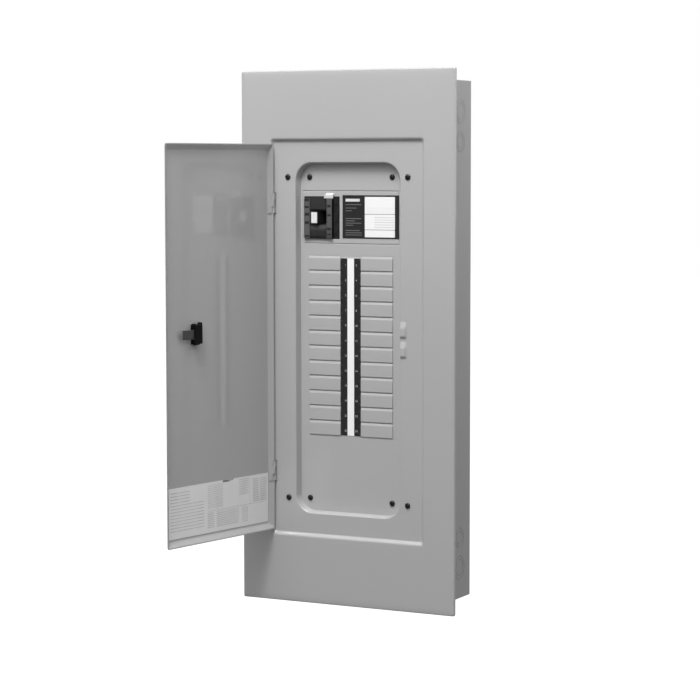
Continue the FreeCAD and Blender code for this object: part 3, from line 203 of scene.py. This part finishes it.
trim_paint = painted_steel("trim paint", 0.44)
pressed_paint = painted_steel("trim paint on pressed pieces", 0.44, edge=0.0005)
box_paint = painted_steel("box paint", 0.35, 0.5, edge=0.0007, gloss=0.0)


def dressed(finish, *names):
    """Gives CAD nodes their finish."""
    for name in names:
        nodes[name].data.materials.clear()
        nodes[name].data.materials.append(finish)


# Enclosure: back and sides bent from one sheet, end walls welded in. The knockouts are the ring
# grooves of its own solids.
dressed(box_paint, "enclosure_wrap", "top_end_wall", "bottom_end_wall")


# Trim cover: one pressing, with a border that leans back to the wall, a recess for the door and a
# well through to the dead front. Every bend has the radius of a press brake.
CORNER_STEPS = 8
BEND_STEPS = 4


def rounded_loop(width, height, radius, depth):
    """Points round a rounded rectangle, in millimetres."""
    points = []
    for turn, side_x, side_z in ((0, 1, 1), (1, -1, 1), (2, -1, -1), (3, 1, -1)):
        for step in range(CORNER_STEPS + 1):
            angle = math.radians(90 * (turn + step / CORNER_STEPS))
            points.append(Vector((side_x * (width / 2 - radius) + radius * math.cos(angle), depth,
                                  side_z * (height / 2 - radius) + radius * math.sin(angle))) * MM)
    return points


def bent_section(stations, closed):
    """Rounds a sheet's section. Each station is width, height, corner radius, depth and bend reach."""
    section = []
    for index, (*here, reach) in enumerate(stations):
        at_end = not closed and index in (0, len(stations) - 1)
        if not reach or at_end:
            section.append(here)
            continue
        ways = []
        for other in (stations[index - 1], stations[(index + 1) % len(stations)]):
            way = [b - a for a, b in zip(here, other)]
            length = math.hypot(way[0] / 2, way[3])
            share = min(reach / length, 0.45)
            ways.append([a + share * d for a, d in zip(here, way)])
        for step in range(BEND_STEPS + 1):
            t = step / BEND_STEPS
            section.append([(1 - t) ** 2 * a + 2 * t * (1 - t) * b + t * t * c
                            for a, b, c in zip(ways[0], here, ways[1])])
    return section


def made(name, shape, finish=None):
    """Turns a finished bmesh into a piece of the scene."""
    mesh = bpy.data.meshes.new(name)
    shape.to_mesh(mesh)
    shape.free()
    piece = bpy.data.objects.new(name, mesh)
    scene.collection.objects.link(piece)
    if finish:
        mesh.materials.append(finish)
    return piece


def pressed_sheet(name, stations, finish, closed):
    """A sheet-metal shell whose section runs through the stations, with flat ends where it is open."""
    shape = bmesh.new()
    rings = []
    for station in bent_section(stations, closed):
        rings.append([shape.verts.new(point) for point in rounded_loop(*station)])
    next_rings = rings[1:] + (rings[:1] if closed else [])
    for ring, following in zip(rings, next_rings):
        for i in range(len(ring)):
            j = (i + 1) % len(ring)
            shape.faces.new((ring[i], ring[j], following[j], following[i]))
    if not closed:
        shape.faces.new(rings[0])
        shape.faces.new(rings[-1])
    bmesh.ops.recalc_face_normals(shape, faces=shape.faces)
    return made(name, shape, finish)


def block(name, low, high):
    """A plain cutter between two corners in millimetres."""
    low, high = Vector(low), Vector(high)
    shape = bmesh.new()
    bmesh.ops.create_cube(shape, size=1)
    placed = Matrix.Translation((low + high) / 2 * MM) @ Matrix.Diagonal((*((high - low) * MM), 1))
    bmesh.ops.transform(shape, verts=shape.verts, matrix=placed)
    return made(name, shape)


def settled(piece):
    """Turns a piece's modifiers into plain mesh."""
    graph = bpy.context.evaluated_depsgraph_get()
    mesh = bpy.data.meshes.new_from_object(piece.evaluated_get(graph))
    piece.modifiers.clear()
    piece.data = mesh
    return piece


def combined(piece, others, operation="DIFFERENCE"):
    """Cuts other pieces out of a piece, or joins them to it, and uses them up."""
    for other in others:
        step = piece.modifiers.new("shape", "BOOLEAN")
        step.operation = operation
        step.solver = "EXACT"
        step.object = other
    settled(piece)
    for other in others:
        bpy.data.objects.remove(other)
    return piece


def smoothed(piece, sharp):
    """Shades bends round and leaves flats flat."""
    for face in piece.data.polygons:
        face.use_smooth = True
    piece.data.set_sharp_from_angle(angle=math.radians(sharp))
    shade = piece.modifiers.new("shade", "WEIGHTED_NORMAL")
    shade.keep_sharp = True
    return settled(piece)


def grown(outline, margin):
    """A rounded rectangle's width, height and corner radius, all moved out by a margin."""
    width, height, radius = outline
    return (width + 2 * margin, height + 2 * margin, radius + margin)


sheet = 1.2
wall_y, face_y, recess_y, well_end_y = -98.4, -104.4, -99.4, -86.8
cover_edge, cover_face, face_back = (400.05, 901.70, 3.0), (383.05, 884.70, 3.0), (382.05, 883.70, 2.4)
recess_lip, recess_floor = (287.80, 672.80, 5.0), (279.00, 664.00, 5.0)
well_mouth, well_end = (196.40, 593.40, 31.0), (190.40, 587.40, 28.0)
cover = pressed_sheet("trim_pressing", (
    (*cover_edge, wall_y, 0.0), (*cover_edge, wall_y - 5.4, 2.2), (*cover_face, face_y, 3.0),
    (*recess_lip, face_y, 1.6), (*recess_floor, recess_y, 1.4), (*well_mouth, recess_y, 2.0),
    (*well_end, well_end_y, 0.0), (*grown(well_end, sheet), well_end_y, 0.0),
    (*grown(well_mouth, sheet), recess_y + sheet, 0.9), (*grown(recess_floor, sheet), recess_y + sheet, 0.9),
    (*grown(recess_lip, sheet), face_y + sheet, 0.9), (*face_back, face_y + sheet, 1.5),
    (*grown(cover_edge, -sheet), wall_y - 4.2, 1.2), (*grown(cover_edge, -sheet), wall_y, 0.0)),
    trim_paint, True)
hinge_x, hinge_y, hinge_rows = -139.73, -102.27, (228.0, -228.0)
knuckle_half = 17.8
strike_x, strike_rows = 105.5, (17.5, -15.5)
openings = []
for z in hinge_rows:
    openings.append(block("notch", (hinge_x - 3.8, -106.1, z - knuckle_half),
                          (hinge_x + 5.1, -98.0, z + knuckle_half)))
for z in strike_rows:
    openings.append(block("lance", (strike_x - 6, -99.6, z - 11.3), (strike_x + 6, -98.0, z + 11.3)))
smoothed(combined(cover, openings), 40)
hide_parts("trim_cover")
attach(cover, "enclosure")


# Strikes: two scoops lanced out of the recess floor. Each is open towards the hinges, where the latch
# bolt slides in. Like every repeated piece they are one shape spread over a grid by a node group.
class Spread(Wiring):
    """A node group that sets one shape at every point of an upright grid."""

    def __init__(self):
        group = bpy.data.node_groups.new("upright grid", "GeometryNodeTree")
        super().__init__(group)
        face = group.interface
        face.new_socket("Geometry", in_out="OUTPUT", socket_type="NodeSocketGeometry")
        for label, kind in (("Shape", "Object"), ("Columns", "Int"), ("Rows", "Int"),
                            ("Column spacing", "Float"), ("Row spacing", "Float"),
                            ("Centre", "Vector"), ("Finish", "Material")):
            face.new_socket(label, in_out="INPUT", socket_type="NodeSocket" + kind)
        inlet = group.nodes.new("NodeGroupInput")
        shape, columns, rows, column_pitch, row_pitch, centre, finish = [
            Signal(self, socket) for socket in inlet.outputs[:7]]
        grid = self.add("GeometryNodeMeshGrid", {}, {
            "Size X": column_pitch * (columns - 1), "Size Y": row_pitch * (rows - 1),
            "Vertices X": columns, "Vertices Y": rows})
        upright = self.add("GeometryNodeTransform", {}, {
            "Geometry": grid, "Translation": centre, "Rotation": (math.radians(90), 0, 0)})
        source = self.add("GeometryNodeObjectInfo", {}, {"Object": shape}, "Geometry")
        copies = self.add("GeometryNodeInstanceOnPoints", {}, {"Points": upright, "Instance": source})
        solid = self.add("GeometryNodeRealizeInstances", {}, {"Geometry": copies})
        painted = self.add("GeometryNodeSetMaterial", {}, {"Geometry": solid, "Material": finish})
        outlet = group.nodes.new("NodeGroupOutput")
        self.plug(outlet.inputs[0], painted)


spread = Spread()


def repeated(name, shape, finish, columns, rows, column_spacing, row_spacing, centre):
    """Copies of a shape on an upright grid, centred on a point in millimetres, as one plain mesh."""
    piece = made(name, bmesh.new())
    step = piece.modifiers.new("grid", "NODES")
    step.node_group = spread.tree
    values = {"Shape": shape, "Columns": columns, "Rows": rows, "Column spacing": column_spacing * MM,
              "Row spacing": row_spacing * MM, "Centre": Vector(centre) * MM, "Finish": finish}
    for item in spread.tree.interface.items_tree:
        if item.name in values:
            step[item.identifier] = values[item.name]
    settled(piece)
    bpy.data.objects.remove(shape)
    return piece


def cut_from_plate(name, outline, span, finish=None, edge=0.0, axis="X"):
    """A flat or folded strip: an outline in millimetres, pushed along an axis, its edges eased."""
    shape = bmesh.new()
    ends = []
    for reach in span:
        corners = [list(point) for point in outline]
        for corner in corners:
            corner.insert("XYZ".index(axis), reach)
        ends.append([shape.verts.new(Vector(corner) * MM) for corner in corners])
    low, high = ends
    shape.faces.new(low)
    shape.faces.new(high)
    for i in range(len(outline)):
        j = (i + 1) % len(outline)
        shape.faces.new((low[i], low[j], high[j], high[i]))
    bmesh.ops.recalc_face_normals(shape, faces=shape.faces)
    piece = made(name, shape, finish)
    return eased(piece, edge) if edge else piece


def eased(piece, radius, steps=2):
    """Rounds a piece's sharp edges to a radius in millimetres."""
    bevel = piece.modifiers.new("edges", "BEVEL")
    bevel.width = radius * MM
    bevel.segments = steps
    bevel.limit_method = "ANGLE"
    bevel.angle_limit = math.radians(40)
    settled(piece)
    return smoothed(piece, 50)


def scoop(left, run, fall, low, high, rise, thickness):
    """A pressed hood, open at its left edge, that falls to the sheet along its other three sides."""
    def ease(t):
        t = min(max(t, 0), 1)
        return t * t * (3 - 2 * t)

    columns, rows = 12, 20
    upper_slope, lower_slope = 0.67 * high, -0.42 * low
    shape = bmesh.new()
    skins = []
    for depth in (0, thickness):
        skin = []
        for i in range(columns + 1):
            x = left + (run + fall) * i / columns
            for j in range(rows + 1):
                z = low + (high - low) * j / rows
                slope = min((high - z) / upper_slope, 1) if z > 0 else ease((z - low) / lower_slope)
                lift = rise * ease((left + run + fall - x) / fall) * slope
                skin.append(shape.verts.new(Vector((x, recess_y + 0.02 - lift + depth, z)) * MM))
        skins.append(skin)
    across = rows + 1
    for skin in skins:
        for i in range(columns):
            for j in range(rows):
                k = i * across + j
                shape.faces.new((skin[k], skin[k + 1], skin[k + across + 1], skin[k + across]))
    rim = [i * across for i in range(columns)] + [columns * across + j for j in range(rows)]
    rim += [i * across + rows for i in range(columns, 0, -1)] + list(range(rows, 0, -1))
    for k, n in zip(rim, rim[1:] + rim[:1]):
        shape.faces.new((skins[0][k], skins[0][n], skins[1][n], skins[1][k]))
    bmesh.ops.recalc_face_normals(shape, faces=shape.faces)
    return smoothed(made("scoop", shape), 50)


hood = scoop(left=-6.0, run=7.0, fall=5.5, low=-12.6, high=16.5, rise=2.7, thickness=0.4)
bridges = repeated("strike_scoops", hood, trim_paint, 1, 2, 0, strike_rows[0] - strike_rows[1],
                   (strike_x, 0, sum(strike_rows) / 2))
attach(bridges, "enclosure")


# Door: a second pressing with all four edges flanged back, pierced for the latch and notched for
# the hinge knuckles. It is made shut and turned to its open place.
def turn_about(x, y, degrees):
    """A turn about the upright line through x and y, in millimetres."""
    line = Vector((x, y, 0)) * MM
    turn = Matrix.Rotation(math.radians(degrees), 4, "Z")
    return Matrix.Translation(line) @ turn @ Matrix.Translation(-line)


door_turn = turn_about(hinge_x, hinge_y, -99.5)


def hung(piece, body="door"):
    """Turns a piece made in the shut door to the open door's place."""
    piece.data.transform(door_turn)
    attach(piece, body)


rim_y, door_inner_y, door_outer_y = -100.4, -106.9, -108.1
door_middle, door_face, face_lining = (240.00, 620.00, 4.0), (257.86, 637.06, 4.0), (257.05, 636.25, 4.0)
door_rim, rim_lining = (278.00, 657.20, 4.0), (274.05, 653.25, 4.0)
door = pressed_sheet("door_pressing", (
    (*door_middle, door_outer_y, 0.0), (*door_face, door_outer_y, 2.6), (*door_rim, rim_y, 0.4),
    (*rim_lining, rim_y, 0.4), (*face_lining, door_inner_y, 2.0), (*door_middle, door_inner_y, 0.0)),
    trim_paint, False)
slack = 0.15
door_holes = [block("latch hole", (51.2 - slack, -109, 1.8 - slack), (70.2 + slack, -106, 33.2 + slack))]
for z in hinge_rows:
    door_holes.append(block("knuckle notch", (hinge_x - 4, -108.5, z - knuckle_half),
                            (hinge_x + 3.4, -100, z + knuckle_half)))
smoothed(combined(door, door_holes), 25)
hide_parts("door_panel")
hung(door)
dressed(pressed_paint, "upper_hinge_cover_leaf", "lower_hinge_cover_leaf",
        "upper_hinge_door_leaf", "lower_hinge_door_leaf")


# Dead front: flat painted sheet with a pressed bead round the main breaker's place. The unused
# breaker spaces are closed by knock-out plates, each raised with a long slope at its top.
dressed(pressed_paint, "dead_front")
dead_front_y, row_pitch, rows_low = -86.5, 25.4, -164.4
half_row = (row_pitch - 0.5) / 2
plate = cut_from_plate("plate", (
    (dead_front_y + sheet, -half_row), (dead_front_y - 0.2, -half_row),
    (dead_front_y - 1.25, -half_row + 1.2), (dead_front_y - 1.35, -half_row + 2.0),
    (dead_front_y - 1.35, half_row - 4.4), (dead_front_y - 1.2, half_row - 3.8),
    (dead_front_y - 0.1, half_row), (dead_front_y + sheet, half_row)),
    (-29.75, 29.75), edge=0.22)
plates = repeated("closing_plates", plate, trim_paint, 2, 12, 97.9, row_pitch,
                  (0, 0, rows_low + 6 * row_pitch))
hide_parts("left_twist_outs", "right_twist_outs")
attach(plates, "enclosure")


# Screws: black oxide pan heads with a cross recess, four in the trim cover and four in the dead
# front. The two sets differ only in their spacing and in the depth of their seat.
def black_oxide():
    finish = Finish("black oxide", metal=0.6)
    worn = finish.noise(700, 3.0)
    colour = finish.blended(worn, grey(0.018), grey(0.045))
    return finish.surface(Base_Color=colour, Roughness=0.32 + worn * 0.2,
                          Normal=finish.relief(worn, 0.00002))


screw_black = black_oxide()


def turned(name, profile):
    """A lathe-turned shape about the Y axis, from radius and depth pairs in millimetres."""
    steps = 32
    shape = bmesh.new()
    rings = []
    for radius, depth in profile:
        rings.append([shape.verts.new(Vector((radius * math.cos(math.tau * i / steps), depth,
                                              radius * math.sin(math.tau * i / steps))) * MM)
                      for i in range(steps)])
    for ring, following in zip(rings, rings[1:]):
        for i in range(steps):
            j = (i + 1) % steps
            shape.faces.new((ring[i], ring[j], following[j], following[i]))
    shape.faces.new(rings[0])
    shape.faces.new(rings[-1])
    bmesh.ops.recalc_face_normals(shape, faces=shape.faces)
    return made(name, shape)


def pan_head_screw(head, height, shank, length):
    """A cross-recess screw with its head's underside at depth 0 and its shank running inwards."""
    profile = [(0.9 * shank, length), (shank, length - 0.4), (shank, 0.0), (head * 0.97, 0.0),
               (head, -0.12 * height)]
    for crown in (20, 40, 58, 72, 82):
        angle = math.radians(crown)
        profile.append((head * math.cos(angle) ** 0.6, -height * (0.12 + 0.88 * math.sin(angle))))
    screw = turned("screw", profile)
    wing, slit, depth = head * 0.52, head * 0.12, height * 0.62
    recess = [block("wing", (-wing, -height - 0.5, -slit), (wing, -height + depth, slit)),
              block("wing", (-slit, -height - 0.5, -wing), (slit, -height + depth, wing))]
    return smoothed(combined(screw, recess), 30)


screw_tip_y, screw_rise = -79.3, 545.0
for name, spacing, seat in (("trim_screws", 225.2, recess_y), ("dead_front_screws", 155.4, dead_front_y)):
    screw = pan_head_screw(head=5.0, height=2.6, shank=2.1, length=screw_tip_y - seat)
    screws = repeated(name + "_set", screw, screw_black, 2, 2, spacing, screw_rise, (0, seat, 0))
    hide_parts(name)
    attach(screws, "enclosure")


# Printed pieces: the rating label, the circuit strip and the directory in the door. Their print is
# bars, blank ruled lines and circuit numbers only.
def printed_rating_label():
    finish = Finish("rating label print")
    x, _, z = finish.millimetres()
    paper = x.between(26.6, 82.6) * z.between(172.4, 239.6)
    bar = x.between(-9.6, 17.2) * z.between(231.6, 236.4)
    lines = 0
    for low, right in ((226.0, 20.0), (220.2, 11.0), (215.6, 2.0), (202.6, 20.0), (198.8, 8.0),
                       (195.0, 20.0), (191.4, 5.0), (182.6, 17.0), (178.8, 21.0), (175.2, 21.0)):
        lines = x.between(-9.5, right) * z.between(low, low + 1.3) | lines
    splits = z.between(210.2, 211.2) | z.between(184.2, 185.2)
    rules = x.between(44.5, 80.5) * z.between(187.5, 208.5) * (((z - 188.4) % 4.1) < 1.2)
    faint = x.between(30.0, 79.0) * z.between(214.0, 222.0) * (((z - 214.2) % 3.2) < 0.9)
    ink = finish.blended(splits * 0.8 | rules * 0.3 | faint * 0.14, grey(0.90), grey(0.08))
    field = finish.blended(lines * 0.16 | bar * 0.9, grey(0.011), grey(0.80))
    mottle = finish.noise(420, 2.0)
    return finish.surface(Base_Color=finish.blended(paper, field, ink), Roughness=0.42 + mottle * 0.12,
                          Normal=finish.relief(mottle, 0.00001))


def printed_strip():
    finish = Finish("circuit strip print")
    x, _, z = finish.millimetres()
    band = x.between(-6.3, 6.3)
    tick = x.between(-18.75, -15.4) | x.between(15.4, 18.75)
    tick = tick * (((z - rows_low - 5.2) % (row_pitch / 2)) < 1.2)
    mottle = finish.noise(420, 2.0)
    colour = finish.blended(band, finish.blended(tick, grey(0.012), grey(0.06)), grey(0.93))
    colour = finish.blended(z > 136.4, colour, grey(0.50))
    return finish.surface(Base_Color=colour, Roughness=0.42 + mottle * 0.12,
                          Normal=finish.relief(mottle, 0.00001))


dressed(printed_rating_label(), "rating_label")
dressed(printed_strip(), "circuit_number_strip")


def figure_ink():
    finish = Finish("figure ink")
    mottle = finish.noise(900, 2.0)
    return finish.surface(Base_Color=finish.blended(mottle, grey(0.558), grey(0.62)),
                          Roughness=0.4 + mottle * 0.1)


def circuit_numbers():
    """One plain figure for each breaker space, odd at the left and even at the right."""
    figures = bmesh.new()
    for number in range(1, 25):
        text = bpy.data.curves.new("figure", "FONT")
        text.body = str(number)
        text.size = 4.8 * MM
        text.align_x = "CENTER"
        text.align_y = "CENTER"
        text.resolution_u = 3
        holder = bpy.data.objects.new("figure", text)
        scene.collection.objects.link(holder)
        graph = bpy.context.evaluated_depsgraph_get()
        mesh = bpy.data.meshes.new_from_object(holder.evaluated_get(graph))
        row = (number - 1) // 2
        across = -9.4 if number % 2 else 10.6
        spot = Vector((across, dead_front_y - 0.53, rows_low + (11.5 - row) * row_pitch - 2.8)) * MM
        mesh.transform(Matrix.Translation(spot) @ Matrix.Rotation(math.radians(90), 4, "X"))
        figures.from_mesh(mesh)
        bpy.data.meshes.remove(mesh)
        bpy.data.objects.remove(holder)
    return made("circuit_numbers", figures, figure_ink())


numbers = circuit_numbers()
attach(numbers, "enclosure")


# Directory: a paper form glued inside the door, with a thumb notch in its top edge. Its print is
# worked out on the shut door, so the pattern is turned back to it first.
def printed_directory():
    finish = Finish("directory print")
    shut = door_turn.inverted()
    place = finish.add("ShaderNodeMapping", {}, {
        "Vector": finish.place, "Rotation": shut.to_euler(), "Location": shut.to_translation()})
    x, _, z = finish.millimetres(place)
    uneven = finish.noise(55, 3.0, (1, 1, 0.3)) * 1.3
    rows = ((z + 313) % 5.2) < 1.7
    fine = ((z + 313) % 3.1) < 1.5
    note = rows * (x.between(76, 124) * z.between(-304, -236) | x.between(40, 124) * z.between(-305, -256))
    table = fine * (x.between(-9, 30) * z.between(-275, -235) | x.between(-76, -50) * z.between(-262, -234))
    small = fine * (x.between(14, 31) | x.between(-50, 8) | x.between(-74, -58)) * z.between(-308, -281)
    list_rows = fine * (x.between(-104, -87) | x.between(-124, -106)) * z.between(-276, -236)
    rules = x.between(-124, 30) * z.between(-279, -278.2) | x.between(-79.5, -78.7) * z.between(-279, -234)
    # A dark bar along the sheet's top edge, beside the thumb notch.
    top_edge_dark_bar = x.between(-28, -8) * z.between(-234.5, -231)
    cloud = finish.noise(60, 3.0)
    ink = (note * 0.4 | table * 0.36 | small * 0.42 | list_rows * 0.5) * uneven | rules * 0.34 | top_edge_dark_bar * 0.85
    colour = finish.blended(ink, finish.blended(cloud, grey(0.84), grey(0.9)), grey(0.06))
    fibre = finish.noise(1400, 2.0)
    return finish.surface(Base_Color=colour, Roughness=0.62 + fibre * 0.1,
                          Normal=finish.relief(fibre, 0.00001))


directory = cut_from_plate("directory_sheet", (
    (-128.0, -314.5), (128.0, -314.5), (128.0, -231), (-21.0, -231), (-24.0, -233.6), (-35.0, -233.6),
    (-38.0, -231), (-128.0, -231)), (door_inner_y + 0.02, door_inner_y + 0.3), printed_directory(), axis="Y")
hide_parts("directory_label")
hung(directory)


# Main breaker: black moulded case behind the dead front, its escutcheon showing through the window
# with two ribbed rails, a step at the right and a light toggle between two raised blocks.
def moulded(name, tone, shine, edge=0.0003, gleam=0.5):
    finish = Finish(name)
    grain = finish.noise(1100, 2.0)
    cloud = finish.noise(30, 2.0)
    colour = finish.blended(cloud, grey(tone * 0.9), grey(tone * 1.12))
    return finish.surface(Base_Color=colour, Roughness=shine + (grain - 0.5) * 0.16,
                          Specular_IOR_Level=gleam, Normal=finish.relief(grain, 0.00003, edge))


breaker_black = moulded("breaker phenolic", 0.016, 0.46)
toggle_white = moulded("toggle plastic", 0.80, 0.4)


def escutcheon_finish():
    """The same phenolic, lighter grey on the raised rails, the right rail darkening downwards, a grey band
    lightening upwards above the lower block, and blacker in the step at the right.
    """
    finish = Finish("breaker escutcheon")
    x, y, z = finish.millimetres()
    grain = finish.noise(1100, 2.0)
    # Lighter grey on the rails; the right rail grows darker downwards and a band above the lower block grows
    # lighter upwards.
    rails = (x.between(-87, -75.6) | x.between(-43.9, -33.5)) * (y < -90.3)
    fade = (x.between(-43.9, -33.5) * (z < 200)) * ((200 - z) * 0.016)
    lower = z.between(180, 192) * x.between(-75, -44.5) * (z - 180) * 0.03
    grey_marks = rails * (0.86 - fade + (grain - 0.5) * 0.5) | lower
    step = x > -33.6
    colour = finish.blended(grey_marks, finish.blended(step, grey(0.020), grey(0.007)), grey(0.10))
    return finish.surface(Base_Color=colour, Roughness=0.46 + (grain - 0.5) * 0.16,
                          Normal=finish.relief(grain, 0.00003, 0.0003))


def solid_copy(node, name, finish):
    """A copy of a CAD node with its triangles joined up, ready to be worked on."""
    shape = bmesh.new()
    shape.from_mesh(nodes[node].data)
    bmesh.ops.remove_doubles(shape, verts=shape.verts, dist=0.000002)
    bmesh.ops.dissolve_limit(shape, angle_limit=math.radians(1), verts=shape.verts, edges=shape.edges)
    return made(name, shape, finish)


case = solid_copy("main_breaker_cover", "main_breaker_case", escutcheon_finish())
cuts = [block("left rib notch", (-85.4, -92, z - h), (-77.0, -89.7, z + h))
        for z, h in ((233.6, 2.2), (221.8, 1.6), (209.6, 2.4), (195.6, 2.4), (172.6, 1.8))]
cuts += [block("right rib notch", (-42.4, -92, z - h), (-35.6, -89.7, z + h))
         for z, h in ((223.4, 2.0), (208.2, 1.8), (185.0, 1.8), (176.0, 1.0))]
cuts += [block("band", (-75.6, -91, z - 1.0), (-44.0, -87.0, z + 1.0)) for z in (217.0, 191.6, 171.4)]
cuts += [block("rail gap", (-45.2, -91, 218), (-43.9, -87.4, 235)),
         block("step gap", (-33.5, -90, 170), (-32.3, -83, 235))]
combined(case, cuts)
sloped = ((-88.4, 218.4), (-90.2, 218.4), (-90.2, 232.0), (-89.3, 235.4), (-88.4, 235.4))
shelf = ((-88.4, 172.8), (-89.9, 172.8), (-91.0, 183.0), (-91.0, 186.4), (-89.2, 190.2), (-88.4, 190.2))
raised = [cut_from_plate("upper block", sloped, (-74.6, -45.6)),
          cut_from_plate("lower block", shelf, (-74.6, -45.6))]
raised += [block("bump", (-31.4, -88.2, low), (-23.4, -86.0, high))
           for low, high in ((226.4, 234.6), (197.4, 211.2), (177.6, 187.0))]
combined(case, raised, "UNION")
eased(case, 0.3, 1)
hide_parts("main_breaker_cover")
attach(case, "enclosure")
dressed(breaker_black, "main_breaker_base")

toggle_x = -57.5
toggle_turn = turn_about(toggle_x, -66, -14)
toggle = solid_copy("main_breaker_handle", "toggle", breaker_black)
toggle.data.transform(toggle_turn.inverted())
eased(toggle, 0.5, 2)
cap = cut_from_plate("toggle_cap", (
    (-6.5, -95.2), (-6.1, -97.0), (-1.2, -97.4), (-0.7, -97.1), (0.7, -97.1), (1.2, -97.4), (6.1, -97.0),
    (6.5, -95.2)), (195.2, 213.4), toggle_white, axis="Z")
cap.data.transform(Matrix.Translation((toggle_x * MM, 0, 0)))
eased(cap, 0.35, 2)
for piece, slot in ((toggle, "breaker_black"), (cap, "handle_white")):
    piece.data.transform(toggle_turn)
    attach(piece, "handle")
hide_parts("main_breaker_handle")

retainer = solid_copy("main_breaker_retainer", "retainer_tab",
                      painted_steel("retainer paint", 0.66, 0.35, edge=0.0004))
corners = [vertex.co for vertex in retainer.data.vertices]
left, top = min(corner.x for corner in corners), max(corner.z for corner in corners)
for corner in corners:
    if corner.x < left + 1.0 * MM:
        corner.x += (4.4 if corner.z > top - 4.0 * MM else 1.2) * MM
eased(retainer, 0.3, 2)
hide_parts("main_breaker_retainer")
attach(retainer, "enclosure")


# Latch: a black moulded cup snapped through the door, with a horn and a tapered heel on its inner
# side, and a slide whose flat bolt runs out towards the door's free edge.
latch_black = moulded("latch nylon", 0.004, 0.34, edge=0.0, gleam=0.12)
cup = solid_copy("latch_housing", "latch_cup", latch_black)
cup.data.transform(door_turn.inverted())
eased(cup, 0.45, 2)
horn = ((51.4, 32.8), (51.4, 36.4), (53.2, 37.0), (56.0, 33.2))
heel = ((52.6, 2.4), (67.4, 2.4), (65.0, -0.4), (56.6, -0.4))
snap = ((63.4, 32.6), (69.2, 32.6), (68.6, 34.9), (64.4, 34.9))
for name, outline, span, edge in (("latch_horn", horn, (-105.6, -98.2), 0.4),
                                  ("latch_heel", heel, (-106.6, -100.6), 0.6),
                                  ("latch_snap", snap, (-106.4, -101.0), 0.4)):
    detail = cut_from_plate(name, outline, span, latch_black, edge, "Y")
    hung(detail)
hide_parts("latch_housing")
hung(cup)
bolt = solid_copy("latch_slide", "latch_bolt", moulded("bolt nylon", 0.055, 0.42, edge=0.0))
bolt.data.transform(door_turn.inverted())
ridges = [block("ridge", (54.0 + 1.5 * i, -107.4, 4), (54.6 + 1.5 * i, -105.8, 31)) for i in range(3)]
combined(bolt, ridges)
eased(bolt, 0.25, 1)
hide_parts("latch_slide")
hung(bolt, "latch")


# Interior: the galvanised pan, rails and screws, tin-plated bars and lugs, moulded insulators and
# copper contacts. They stand behind the dead front and keep their own solids.
def zinc_plate():
    finish = Finish("zinc plate", metal=0.85)
    spangle = finish.add("ShaderNodeTexVoronoi", {}, {"Vector": finish.place, "Scale": 90.0}, "Color")
    flake = finish.add("ShaderNodeSeparateXYZ", {}, {"Vector": spangle}, 0)
    haze = finish.noise(40, 3.0)
    colour = finish.blended(flake * 0.6 + haze * 0.4, grey(0.42), grey(0.60))
    return finish.surface(Base_Color=colour, Roughness=0.34 + flake * 0.14,
                          Normal=finish.relief(haze, 0.00002, 0.0004))


def drawn_metal(name, dark, light):
    finish = Finish(name, metal=1.0)
    streak = finish.noise(14, 4.0, (60, 60, 1.5))
    colour = finish.blended(streak, dark, light)
    return finish.surface(Base_Color=colour, Roughness=0.28 + streak * 0.16,
                          Normal=finish.relief(streak, 0.00001, 0.0003))


dressed(zinc_plate(), "upper_support_rail", "lower_support_rail", "interior_pan", "left_hook_rail",
        "right_hook_rail", "main_breaker_mount", "bus_bar_screws", "hook_rail_screws", "neutral_bar_screws",
        "neutral_strap_bolts", "bonding_screw", "ground_bar_screws", "load_strap_bolts", "upper_hinge_pin",
        "lower_hinge_pin", "handle_pin")
tin_plate = drawn_metal("tin plate", grey(0.58), grey(0.74))
contact_copper = drawn_metal("contact copper", (0.62, 0.30, 0.17, 1), (0.80, 0.42, 0.26, 1))
insulator = moulded("insulator polyester", 0.10, 0.5)
dressed(tin_plate, "left_bus_bar", "right_bus_bar", "left_neutral_bar", "right_neutral_bar", "neutral_strap",
        "neutral_lug", "neutral_lug_screw", "ground_bar", "line_lugs", "line_lug_screws", "load_straps")
dressed(contact_copper, "moving_contact_arms")
dressed(insulator, "bus_insulators", "neutral_bar_posts", "contact_crossbar")


# Room: a plain floor below the panel and a world behind it, both white where the camera sees them.
# For all other rays the floor is dark and the world a dim grey, a little lighter above than below.
def plain_floor():
    finish = Finish("floor")
    cloud = finish.noise(1.5, 2.0)
    seen = finish.add("ShaderNodeLightPath", output="Is Camera Ray")
    return finish.surface(Base_Color=finish.blended(cloud, grey(0.10), grey(0.12)), Roughness=0.9,
                          Emission_Color=finish.blended(seen, grey(0.0), grey(1.0)), Emission_Strength=0.98)


floor_mesh = bmesh.new()
bmesh.ops.create_grid(floor_mesh, x_segments=1, y_segments=1, size=14)
bmesh.ops.translate(floor_mesh, verts=floor_mesh.verts, vec=(0, 0, -0.62))
made("floor", floor_mesh, plain_floor())

scene.world = bpy.data.worlds.new("white room")
scene.world.use_nodes = True
room = Wiring(scene.world.node_tree)
seen = room.add("ShaderNodeLightPath", output="Is Camera Ray")
way = room.add("ShaderNodeTexCoord", output="Generated")
rise = room.add("ShaderNodeSeparateXYZ", {}, {"Vector": way}, "Z")
strength = seen + (1 - seen) * (rise * 0.30 + 0.33)
background = room.tree.nodes["Background"]
room.plug(background.inputs["Strength"], strength)
room.plug(background.inputs["Color"], (1, 1, 1, 1))
